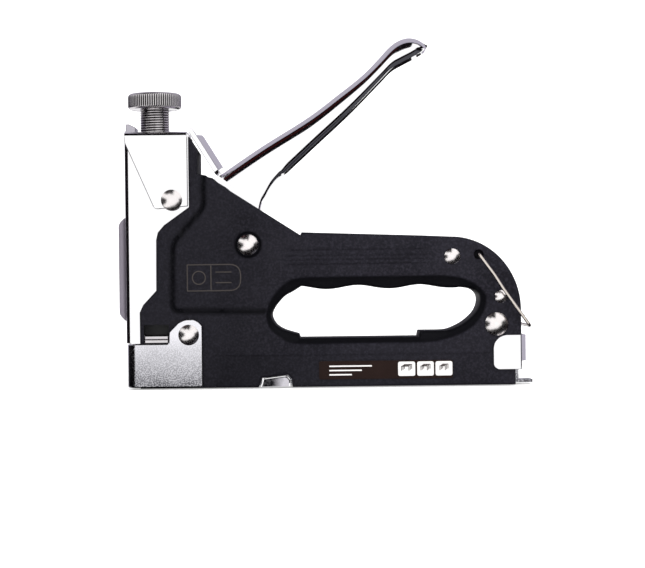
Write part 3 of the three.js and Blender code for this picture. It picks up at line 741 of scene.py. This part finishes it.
def casing_detail_points():
    """Extra mesh points where the side of the casing has fine lines."""
    out = [(x, line + dz) for line in GRIP_LINES for dz in (-0.7, -0.35, -0.17, 0, 0.17, 0.35, 0.7)
           for x in np.arange(GRIP_FROM - 1, GRIP_TO + 1.2, 1.2)]
    out += [(x, STEP_Z + dz) for dz in (-0.8, -0.4, -0.2, 0, 0.2, 0.4, 0.8) for x in np.arange(-47, 68, 1.4)]
    out += [(x, z) for x in np.arange(-56, -32.8, 0.24) for z in np.arange(38, 50, 0.24)]
    for radius in (4.1, 4.5, 4.8, 5.1, 5.5, 6):
        out += circle(*PIVOT, radius, 40)
    for radius in (0.8, 1.5, 1.7, 1.9, 2.1, 2.5):
        out += circle(*BAIL_PIVOT, radius, 40)
    for line, offsets in ((subdivided(BAND, 0.9), (-0.5, -0.2, 0.1, 0.4, 0.8)),
                          (curve_through(PANEL_LINE, 2), (-1.8, -1.2, -0.6, 0, 0.6, 1.2, 1.8))):
        normal = across(np.gradient(np.array(line), axis=0))
        for offset in offsets:
            out += list(line + offset * normal)
    return out


def cavity_cutter():
    """The hollow inside the casing: everything but the wall round the finger opening."""
    hollow = prism("hollow", [
        (-82, 2), (75.8, 2), (75.8, 29), (73, 39.5), (66, 49), (57, 55), (49, 56.8), (-10.5, 57.6),
        (-38, 75.4), (-46.5, 81.3), (-52.6, 82), (-52.6, 105), (-82, 105)], -CAVITY_HALF, CAVITY_HALF)
    wall = prism("wall", [
        (-12, 17.7), (-20, 20.8), (-24, 28.5), (-20.5, 36), (-12, 42.5), (0, 43), (54, 43), (60.5, 40.5),
        (63.4, 34.5), (60, 25.5), (53, 19.8), (46, 17.7)], -THROUGH, THROUGH)
    return carve(hollow, [wall])


def make_casing():
    """Both halves of the casing."""
    # recess: groove depth, which darkens the paint as painted shade; negative on the badge lines, which come
    # out paler
    right = relief("right_shell_look", casing_outline(), [finger_opening()], casing_height,
                   (0.25, 0.55, 0.95, 1.5), 1.5, casing_detail_points(), inner=0.06,
                   recess=lambda points: casing_recess(points) - 2 * badge_relief(points))
    carve(right, [
        cavity_cutter(),
        block("lever_slot", (-50.4, -SLOT_HALF, 50), (-9.7, SLOT_HALF, 110)),
        block("magazine_room", (-80, -MAGAZINE_HALF, -3), (90, MAGAZINE_HALF, MAGAZINE_TOP)),
        block("window", (-72.7, -THROUGH, 18), (-62.6, THROUGH, 25.5)),
    ])
    left = mirrored(right, "left_shell_look")
    dress(right, "casing", "right_shell")
    dress(left, "casing", "left_shell")


# ---- rivets


def dome(head, rise, face, direction):
    """Profile of a domed rivet head, from its face outwards."""
    rim = 0.28
    sphere = (head**2 + (rise - rim) ** 2) / (2 * (rise - rim))
    start = math.degrees(math.acos(head / sphere))
    cap = arc(0, face + rise - sphere, sphere, sphere, start, 90, 9)[1:]
    profile = [(head - 0.12, face), (head, face + 0.12), (head, face + rim), *cap]
    return [(r, direction * h) for r, h in profile]


RIVETS = {  # name: place in the side view, head radius, rise, shank radius, face
    "pivot_rivet": (PIVOT, 4.1, 1.9, 2.5, 13.5),
    "nose_rivet": ((-54.7, 21.3), 4.1, 1.9, 2, 14),
    "grip_rivet": ((50.5, 51.3), 3.15, 1.4, 1.6, 13.5),
    "small_rear_rivet": ((69.7, 35.1), 2.55, 1.2, 1.3, 13.5),
    "rear_rivet": ((67.8, 24.2), 4.6, 2, 2, 13.5),
}
CAP_RIVET = ((-61, 75.1), 4.2, 1.6, 2, 12.4)


def rivet(name, place, profile):
    """A rivet across the casing, turned from its profile."""
    dress(lathe(name + "_look", profile, (place[0], 0, place[1]), ALONG_Y, 56), "rivet", name)


def make_rivets():
    for name, (place, head, rise, shank, face) in RIVETS.items():
        lower, upper = dome(head, rise, face, -1)[::-1], dome(head, rise, face, 1)
        rivet(name, place, [*lower, (shank, -face), (shank, face), *upper])
    place, head, rise, shank, face = CAP_RIVET
    for name, side in (("left_cap_rivet", -1), ("right_cap_rivet", 1)):
        foot = side * min(side * end[1] for end in extent(name))
        rivet(name, place, [(0, foot), (shank, foot), (shank, side * face), *dome(head, rise, face, side)])


# ---- the lever


LEVER_STATIONS = 96
TIP_FROM, TIP_ROUND = 36.3, 6.2  # where the lever's end starts to round off, and how long that takes


def along(line, share):
    """The point at a share of a line's length."""
    a = np.array(line)
    run = np.concatenate([[0], np.cumsum(np.hypot(*np.diff(a, axis=0).T))])
    return np.array([np.interp(share * run[-1], run, a[:, k]) for k in (0, 1)])


def channel_section(half, depth, crown, roll, sheet):
    """Right half of the lever's section as (half width, depth) points: outside down, then inside up."""
    top = min(crown, 0.62 * depth)
    low = min(roll, 0.38 * depth)
    outer = [(0, 0), (half - crown, 0), *arc(half - crown, top, crown, -top, 90, 0, 16)[1:],
             *arc(half - roll, depth - low, roll, low, 0, 80, 9)]
    open_share = smooth_step((depth - 3.2) / 3)
    inner = [(half - roll, depth - sheet), (half - sheet, depth - low - 0.4), (half - sheet, top + 0.5),
             (half - 0.45 * crown, 0.3 * top + sheet), (half - crown, sheet), (0, sheet)]
    return outer, [(max(width, 0), depth - open_share * (depth - max(at, sheet))) for width, at in inner]


def lever_ring(share):
    """The lever's closed section between its upper and lower lines."""
    high, low = along(LEVER_TOP, share), along(LEVER_LOWER, share)
    depth = float(np.hypot(*(low - high)))
    down = (low - high) / depth
    short = TIP_ROUND * (1 - math.sqrt(1 - min(max((high[0] - TIP_FROM) / TIP_ROUND, 0), 0.97) ** 2))
    grip = smooth_step((high[0] - 12) / 18)
    roll = 1.5 + 1.5 * smooth_step((share - 0.2) / 0.08)
    outer, inner = channel_section(LEVER_HALF - short, depth, 6.6 + 2 * grip, roll, LEVER_SHEET)
    half = outer + inner[:-1]
    ring = [(y, d) for y, d in half] + [(0, inner[-1][1])] + [(-y, d) for y, d in half[:0:-1]]
    return [(high[0] + down[0] * d, y, high[1] + down[1] * d) for y, d in ring]


def make_lever():
    """The lever: a channel with a rounded crown and rolled lower edges, on two flat arms."""
    lever = loft("lever_look", [lever_ring(t) for t in np.linspace(0, 1, LEVER_STATIONS)])
    arm = [*LEVER_ARM, tuple(along(LEVER_TOP, 0.03))]
    inner, outer = LEVER_HALF - LEVER_SHEET + 0.03, LEVER_HALF - 0.03
    carve(lever, [prism("arm", arm, -outer, -inner), prism("arm", arm, inner, outer)], operation="UNION")
    holes = [prism("hole", circle(*at, radius, 32), -THROUGH, THROUGH)
             for at, radius in ((PIVOT, 4.3), (LIFTER, 1.8))]
    carve(lever, holes)
    dress(lever, "chrome", "lever")


# ---- bent sheet metal


TONGUE_TOP, TONGUE_END = Vector((-51.9, 102.4)), Vector((-41.9, 86.2))  # along its outer face
TONGUE_SHEET = 1.9


def on_tongue(share, out, half):
    """Both ends of a line across the tongue, so far along it and so far off its outer face."""
    down = (TONGUE_END - TONGUE_TOP).normalized()
    point = TONGUE_TOP.lerp(TONGUE_END, share) + out * Vector((-down[1], down[0]))
    return [(point[0], -half, point[1]), (point[0], half, point[1])]


def make_tongue():
    """The strip bent down behind the cap, with clipped corners at its end."""
    rings = [(-0.12, 8), (0.93, 8), (1, 6.9)]
    loops = [on_tongue(share, -TONGUE_SHEET, half) + on_tongue(share, 0, half)[::-1] for share, half in rings]
    return bevel(loft("tongue", loops), 0.2, 2)


def make_tongue_rib():
    """The raised rib pressed into the tongue, with wide sloping sides."""
    foot = on_tongue(0.05, -0.3, 7.8) + on_tongue(0.95, -0.3, 7.8)[::-1]
    top = on_tongue(0.12, 2.1, 4) + on_tongue(0.92, 2.1, 4)[::-1]
    return bevel(loft("rib", [foot, top]), 0.3)


SHEET = 1.2


def channel(open_at, closed_at, half, bend):
    """Section of sheet bent to a U, as (run, across) points; bend is the radius inside its bends."""
    inner, floor = half - SHEET, closed_at - math.copysign(SHEET, closed_at - open_at)
    loop = [(open_at, -half), (open_at, -inner), (floor, -inner), (floor, inner), (open_at, inner),
            (open_at, half), (closed_at, half), (closed_at, -half)]
    return rounded(loop, {2: bend, 3: bend, 6: bend + SHEET, 7: bend + SHEET})


def make_housing():
    """The nose housing, with a window to the bumper on each side."""
    side = [(-78, 2.3), (-50.5, 2.3), (-50.5, 27), (-54, 27), (-54, 101.4), (-81, 101.4), (-81, 18.1),
            (-78, 18.1)]
    window = block("window", (-73.2, -THROUGH, 17.6), (-62.1, THROUGH, 25.9))
    tube = channel(-50.5, -80, 10.9, 1.4)
    housing = bent_sheet("front_housing_look", tube, "z", 0, 101.4, side, [window], 0.15)
    dress(housing, "chrome", "front_housing")


def make_cap():
    """The cap on the housing, with its tongue."""
    saddle = [(y, z) for z, y in channel(60, 102.6, 12.4, 1.4)]
    flange = rounded([(-79.8, 103), (-79.7, 98.5), (-67.9, 71.5), (-54.6, 72.6), (-54.6, 103)],
                     {1: 1, 2: 1.4, 3: 0.5})
    cap = bent_sheet("top_cap_look", saddle, "x", -79.8, -54.6, flange, [
        block("tab_slot", (-90, -5.2, 100), (-75.4, 5.2, 104)),
        extrude("screw_hole", circle(ADJUSTER_X, 0, 6.2, 48), "z", 100, 104),
    ], 0.5)
    carve(cap, [make_tongue(), make_tongue_rib()], operation="UNION")
    dress(bevel(cap, 0.02, 1, 60), "chrome", "top_cap")


def make_bracket():
    """The bracket round the foot of the nose, with an ear round its rivet."""
    (x, z), front = RIVETS["nose_rivet"][0], -79.5
    ear = rounded([(front - 1, 0.5), (-49.2, 0.5), *arc(x, z, 6.3, 6.3, 29, 130, 16), (-62.7, 22.1),
                   (-62.8, 17.9), (front - 1, 17.9)], {19: 0.9, 20: 0.7})
    bracket = bent_sheet("nose_bracket_look", channel(-40, front, 14, 3.9), "z", 0, 40, ear, [], 0.45)
    # its steel carries painted shade, dark at the foot and bright towards the top
    dress(bracket, "satin_steel", "nose_bracket")


def make_rear_clip():
    """The clip folded round the end of the magazine."""
    fold = rounded([(60, -14.8), (77.4, -14.8), (79.8, -10.4), (79.8, 10.4), (77.4, 14.8), (60, 14.8),
                    (60, 13.8), (76.8, 13.8), (78.7, 10.1), (78.7, -10.1), (76.8, -13.8), (60, -13.8)],
                   {1: 0.5, 2: 1.5, 3: 1.5, 4: 0.5})
    side = [(77, 6.2), (77.6, 6.8), (77.7, 9.5), (80, 9.5), (80, 19.8),
            *arc(71.9, 14.3, 5.5, 5.5, 90, 180, 10), *arc(68.9, 8.7, 2.5, 2.5, 180, 270, 6)]
    dress(bent_sheet("rear_clip_look", fold, "z", 0, 40, side, [], 0.25), "chrome", "rear_clip")


def make_retainer():
    """Two stacked pins that hold the bumper, seen through the windows."""
    pins = [bevel(prism("pin", rounded_rectangle(-72.4, low, -63, low + 1.38, 0.35), -12.2, 12.2), 0.25)
            for low in (18.1, 19.62)]
    dress(joined("bumper_retainer_look", pins), "nickel", "bumper_retainer")


# ---- the tension screw and its knob

KNOB_RADIUS, KNOB_LOW, KNOB_HIGH, KNOB_ROUND = 10.8, 112.3, 118.7, 1.4
SHANK_RADIUS, THREAD_PITCH, THREAD_DEPTH = 5.9, 1, 0.32
ADJUSTER_X = -68.4
KNURLS = 72


def knurl(angle, h):
    """The ribs that run up the knob's rim, between its rounded edges."""
    if KNOB_LOW + 0.7 * KNOB_ROUND < h < KNOB_HIGH - 0.7 * KNOB_ROUND:
        return -0.45 * (1 - abs(math.sin(KNURLS / 2 * angle))) ** 2
    return 0


def thread(angle, h):
    """The groove that winds along the shank."""
    phase = (h / THREAD_PITCH - angle / (2 * math.pi)) % 1
    return -THREAD_DEPTH * (0.5 + 0.5 * math.cos(2 * math.pi * phase)) ** 1.5


def make_tension_screw():
    foot, neck = extent("tension_screw")[0][2], KNOB_LOW + 0.2
    threaded = [(SHANK_RADIUS, h) for h in np.arange(foot + 0.5, neck, THREAD_PITCH / 8)]
    shank = [(0, foot), (SHANK_RADIUS - 1, foot), *threaded, (0, neck)]
    rod = lathe("screw_shank", shank, (ADJUSTER_X, 0, 0), UPRIGHT, 60, 60, thread)
    inner, low, high = KNOB_RADIUS - KNOB_ROUND, KNOB_LOW + KNOB_ROUND, KNOB_HIGH - KNOB_ROUND
    rim = [*arc(inner, low, KNOB_ROUND, KNOB_ROUND, -90, 0, 6),
           *[(KNOB_RADIUS, h) for h in np.linspace(low, high, 6)[1:-1]],
           *arc(inner, high, KNOB_ROUND, KNOB_ROUND, 0, 90, 6)]
    dish = KNOB_HIGH - 0.35
    head = [(0, KNOB_LOW), (KNOB_RADIUS - 3, KNOB_LOW), *rim, (KNOB_RADIUS - 3, KNOB_HIGH),
            (KNOB_RADIUS - 3.4, dish), (0, dish)]
    knob = lathe("screw_knob", head, (ADJUSTER_X, 0, 0), UPRIGHT, 6 * KNURLS, 40, knurl)
    carve(knob, [rod], 45, "UNION")
    knob.name = "tension_screw_look"
    dress(knob, "nickel", "tension_screw")


# ---- springs and wire


def coil(radius, low, high, turns, dead_turns, wire, steps=20):
    """Points of a compression spring along Z, its end turns lying flat."""
    path = []
    for turn in np.arange(turns * steps + 1) / steps:
        share = min(max((turn - dead_turns) / (turns - 2 * dead_turns), 0), 1)
        z = low + wire + share * (high - low - 2 * wire - 4 * wire * dead_turns)
        z += 2 * wire * (min(turn, dead_turns) + max(turn - turns + dead_turns, 0))
        angle = 2 * math.pi * turn
        path.append((radius * math.cos(angle), radius * math.sin(angle), z))
    return path


MAIN_WIRE, FEED_WIRE, RETURN_WIRE = 0.9, 0.3, 0.5  # radii


def spring(node, path, wire, sides):
    """The coiled wire that stands for a spring's CAD node."""
    obj = sweep(node + "_look", path, wire, sides)
    dress(obj, "spring_steel", node)
    return obj


def make_springs():
    """The three springs."""
    low, high = extent("main_spring")
    path = [(ADJUSTER_X + x, y, z) for x, y, z in coil(6.3, low[2], high[2], 8, 1, MAIN_WIRE)]
    main = spring("main_spring", path, MAIN_WIRE, 10)
    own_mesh(main)
    low, high = extent("feed_spring")
    middle = (low + high) / 2
    turns = coil(2.4, low[0], high[0], 58, 2, FEED_WIRE, 12)
    path = [(z, middle[1] + y, middle[2] + x) for x, y, z in turns]
    feed = spring("feed_spring", path, FEED_WIRE, 6)
    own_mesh(feed)
    low, high = extent("return_spring")
    path = [(PIVOT[0] + x, z, PIVOT[1] + y) for x, y, z in coil(5.4, low[1], high[1], 6, 1, RETURN_WIRE)]
    spring("return_spring", path, RETURN_WIRE, 8)


def make_bail():
    """The wire round the tail, with its ends bent into the casing."""
    wire = 0.62
    side = extent("lock_bail")[1][1] - wire
    leg = [BAIL_PIVOT, (67, 43.8), (70.5, 38.2), (80.8, 23.5)]
    points = [(x, -side, z) for x, z in leg] + [(x, side, z) for x, z in leg[::-1]]
    ends = [(BAIL_PIVOT[0], y, BAIL_PIVOT[1]) for y in (-12.2, 12.2)]
    points = [ends[0], *points, ends[1]]
    obj = sweep("lock_bail_look", rounded_path(points, 1.2), wire, 14)
    dress(obj, "wire", "lock_bail")


LUG_EDGE = rounded([(-26.4, 0.3), (-14.6, 0.3), (-14.4, 3), (-15.9, 4.6), (-25.2, 3.5)],
                   {2: 0.8, 3: 1, 4: 1})
# outline of the dark sheet of painted shade on each lug
LUG_SHADE = rounded([(-25.9, 0.35), (-15.1, 0.35), (-15, 2.7), (-16.2, 4), (-24.8, 3)],
                   {2: 0.6, 3: 0.7, 4: 0.8})
LUG_SIDE = 12.4


def make_bracket_lugs():
    """The bright-edged lugs in the notches of the lower edge, with a dark sheet of painted shade over their
    hollow.
    """
    edge = prism("left_lug_edge", LUG_EDGE, -LUG_SIDE, 0.6 - LUG_SIDE)
    face = prism("left_lug_painted_shade", LUG_SHADE, -LUG_SIDE - 0.06, 0.5 - LUG_SIDE)
    for lug in (edge, mirrored(edge, "right_lug_edge")):
        dress(lug, "chrome", "magazine_bracket", stands_for_it=False)
    # dark sheets of painted shade over the lugs' hollows
    for hollow in (face, mirrored(face, "right_lug_painted_shade")):
        dress(hollow, "lug_painted_shade", "magazine_bracket", stands_for_it=False)


# ---- the label

LABEL_FACE = 13.7
TILES = ((28.4, 35.2), (36, 42.6), (43.3, 50))
TILE_Z = (4, 9.7)


def print_field(name, x_low, z_low, x_high, z_high, radius):
    """A printed field, just proud of the label."""
    field = rounded_rectangle(x_low, z_low, x_high, z_high, radius)
    return prism(name, field, -LABEL_FACE - 0.04, 0.02 - LABEL_FACE)


def staple_mark(x, z, width):
    """A plain staple: a bar with two legs."""
    line, top, half = 0.3, z + 1.9, width / 2
    inner = half - line
    loop = [(-half, z), (-inner, z), (-inner, top - line), (inner, top - line), (inner, z), (half, z),
            (half, top), (-half, top)]
    return prism("mark", [(x + dx, z) for dx, z in loop], -LABEL_FACE - 0.08, -LABEL_FACE - 0.02)


def make_label():
    """The label: three fields with a stack of staples each, and three plain stripes for its text."""
    plate = prism("label_look", rounded_rectangle(-3, 3, 50.2, 10.2, 0.8), -LABEL_FACE, -13.2)
    dress(plate, "label", "label")
    prints, marks = [], []
    for i, (x_low, x_high) in enumerate(TILES):
        prints.append(print_field("tile", x_low, TILE_Z[0], x_high, TILE_Z[1], 0.9))
        for k in range(3):
            middle = (x_low + x_high) / 2 + 0.55 * (k - 1)
            marks.append(staple_mark(middle, 6.1 + 0.35 * k, 3.2 - 0.4 * i))
    for k, length in enumerate((17, 13, 9)):
        low = 7.9 - 1.7 * k
        prints.append(print_field("stripe", 1, low, 1 + length, low + 0.55, 0.2))
    dress(joined("label_tiles", prints), "print", "label", stands_for_it=False)
    dress(joined("label_marks", marks), "ink", "label", stands_for_it=False)


# ---- pieces taken from the CAD with rounded edges

EDGE_RADIUS = {
    "front_plate": 0.25, "front_pad": 1.1, "bumper": 0.5, "hammer": 0.4, "driver_blade": 0.15,
    "magazine_channel": 0.25, "magazine_bracket": 0.35, "staple_rail": 0.2, "staple_pusher": 0.25,
}
SMALL_EDGE = 0.2


def make_rounded_pieces():
    """All that is left of the CAD, with rounded edges."""
    for name in sorted(set(NODES) - STOOD_FOR):
        obj = softened(name, EDGE_RADIUS.get(name, SMALL_EDGE))
        dress(obj, "tab" if name == "front_plate" else SLOT_OF[name], name)


# ---- stage, light and camera


MIDDLE_Z = 60  # height that the lights and the cards are set up round
FLOOR_GAP = 0.4


def plain(name, colour, glow, shine):
    """A dull material for the stage, which glows."""
    material = bpy.data.materials.new(name)
    material.use_nodes = True
    inputs = material.node_tree.nodes["Principled BSDF"].inputs
    inputs["Base Color"].default_value = (*colour, 1)
    inputs["Roughness"].default_value = 0.9
    inputs["Specular IOR Level"].default_value = shine
    inputs["Emission Color"].default_value = (*glow, 1)
    inputs["Emission Strength"].default_value = 1
    return material


def make_floor():
    """A floor that curves up into a backdrop."""
    section = [(-2000, 0), (700, 0), *arc(700, 500, 500, 500, -90, 0, 12)[1:], (1200, 2500)]
    verts = [(x, y, z - FLOOR_GAP) for x in (-2500, 2500) for y, z in section]
    n = len(section)
    faces = [(i, i + 1, n + i + 1, n + i) for i in range(n - 1)]
    floor = mesh_object("floor", verts, faces, 60)
    floor.data.materials.append(plain("floor_paper", (0.9, 0.9, 0.9), (0.4, 0.4, 0.4), 0.5))
    floor.visible_glossy = False
    floor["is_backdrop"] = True


def area_light(name, place, power):
    """A square light, aimed at the middle of the object."""
    light = bpy.data.lights.new(name, "AREA")
    light.shape = "SQUARE"
    light.size = 500 * MM
    light.energy = power
    lamp = in_scene(name, light)
    lamp.location = Vector(place) * MM
    lamp.visible_glossy = False
    lamp.rotation_euler = Vector((place[0], place[1], place[2] - MIDDLE_Z)).to_track_quat("Z", "Y").to_euler()


def make_world():
    world = bpy.data.worlds.new("studio")
    bpy.context.scene.world = world
    world.use_nodes = True
    background = world.node_tree.nodes["Background"]
    background.inputs["Color"].default_value = (1, 1, 1, 1)
    background.inputs["Strength"].default_value = 1.1


def card(name, reach, clocks, offs, colours, closed=False):
    """Part of a ball round the object, which only polished metal sees. For each clock direction round the
    line of sight (0 right, 90 up) it has points so many degrees off that line. Colours are its glows."""
    verts = []
    for clock, row in zip(np.radians(clocks), np.radians(offs)):
        for off in row:
            aside = reach * math.sin(off)
            x, z = aside * math.cos(clock), MIDDLE_Z + aside * math.sin(clock)
            verts.append((x, -reach * math.cos(off), z))
    n, m = len(clocks), len(offs[0])
    faces = [(m * i + k, m * i + k + 1, m * ((i + 1) % n) + k + 1, m * ((i + 1) % n) + k)
             for i in range(n if closed else n - 1) for k in range(m - 1)]
    obj = mesh_object(name, verts, faces)
    for i, colour in enumerate(colours):
        obj.data.materials.append(plain(f"{name}_{i}", (0, 0, 0), colour, 0))
    obj.visible_camera = False
    obj.visible_diffuse = False
    obj.visible_shadow = False
    obj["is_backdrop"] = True
    return obj


# for each clock direction: where the dark band starts and ends, in degrees off the line of sight
DARK_FROM = {0: 40, 14: 40, 21: 74, 60: 84, 84: 84, 88: 34, 104: 38, 112: 48, 134: 50, 143: 84, 160: 84,
             165: 38, 196: 38, 205: 72, 222: 62, 240: 46, 262: 34, 330: 30, 346: 40, 360: 40}
DARK_TO = {0: 104, 10: 104, 21: 96, 160: 96, 170: 128, 196: 128, 206: 96, 228: 96, 238: 170, 325: 170,
           340: 96, 350: 104, 360: 104}
BLACK, DARK_RED, DARK_GREY = (0.005, 0.004, 0.005), (0.03, 0.004, 0.004), (0.07, 0.07, 0.08)
LILAC = (0.46, 0.435, 0.51)


def make_dark_band():
    """A dark band all round the line of sight, which draws the lines along the metal's bends."""
    clocks = np.arange(0, 360, 3)
    starts = np.interp(clocks, list(DARK_FROM), list(DARK_FROM.values()))
    ends = np.interp(clocks, list(DARK_TO), list(DARK_TO.values()))
    strips = 4
    offs = [np.linspace(start, end, strips + 1) for start, end in zip(starts, ends)]
    band = card("dark_band", 900, clocks, offs, [BLACK, DARK_RED, DARK_GREY], closed=True)
    for i, face in enumerate(band.data.polygons):
        clock, strip = clocks[i // strips], i % strips
        red, grey = 106 <= clock <= 136 and strip == 2, 290 <= clock <= 325 and strip > 0
        face.material_index = 1 if red else 2 if grey else 0


def make_back_card():
    """The lilac grey that metal mirrors from behind and above: half a bowl behind the object."""
    clocks = np.arange(-16, 197, 6)
    card("back_card", 1200, clocks, [np.linspace(85, 178, 12)] * len(clocks), [LILAC])


CAMERA_PLACE = (-1.26, -713.5, 40.95)
CAMERA_ROLL = 0.7  # degrees


def make_camera():
    data = bpy.data.cameras.new("camera")
    data.sensor_width = 36
    data.lens = 98.2
    camera = in_scene("camera", data)
    camera.location = Vector(CAMERA_PLACE) * MM
    camera.rotation_euler = (math.radians(90), math.radians(CAMERA_ROLL), 0)
    bpy.context.scene.camera = camera


def make_stage():
    make_world()
    make_floor()
    make_dark_band()
    make_back_card()
    area_light("key", (650, -800, 850), 5)
    area_light("fill", (-700, -800, 500), 1)
    make_camera()
    bpy.context.scene.view_settings.view_transform = "Standard"


# ---- build everything

make_casing()
make_rivets()
make_lever()
make_housing()
make_cap()
make_bracket()
make_rear_clip()
make_retainer()
make_tension_screw()
make_springs()
make_bail()
make_bracket_lugs()
make_label()
make_rounded_pieces()
make_stage()

sizes = [list(map(float, corner)) for corner in (*cad_box, *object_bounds())]
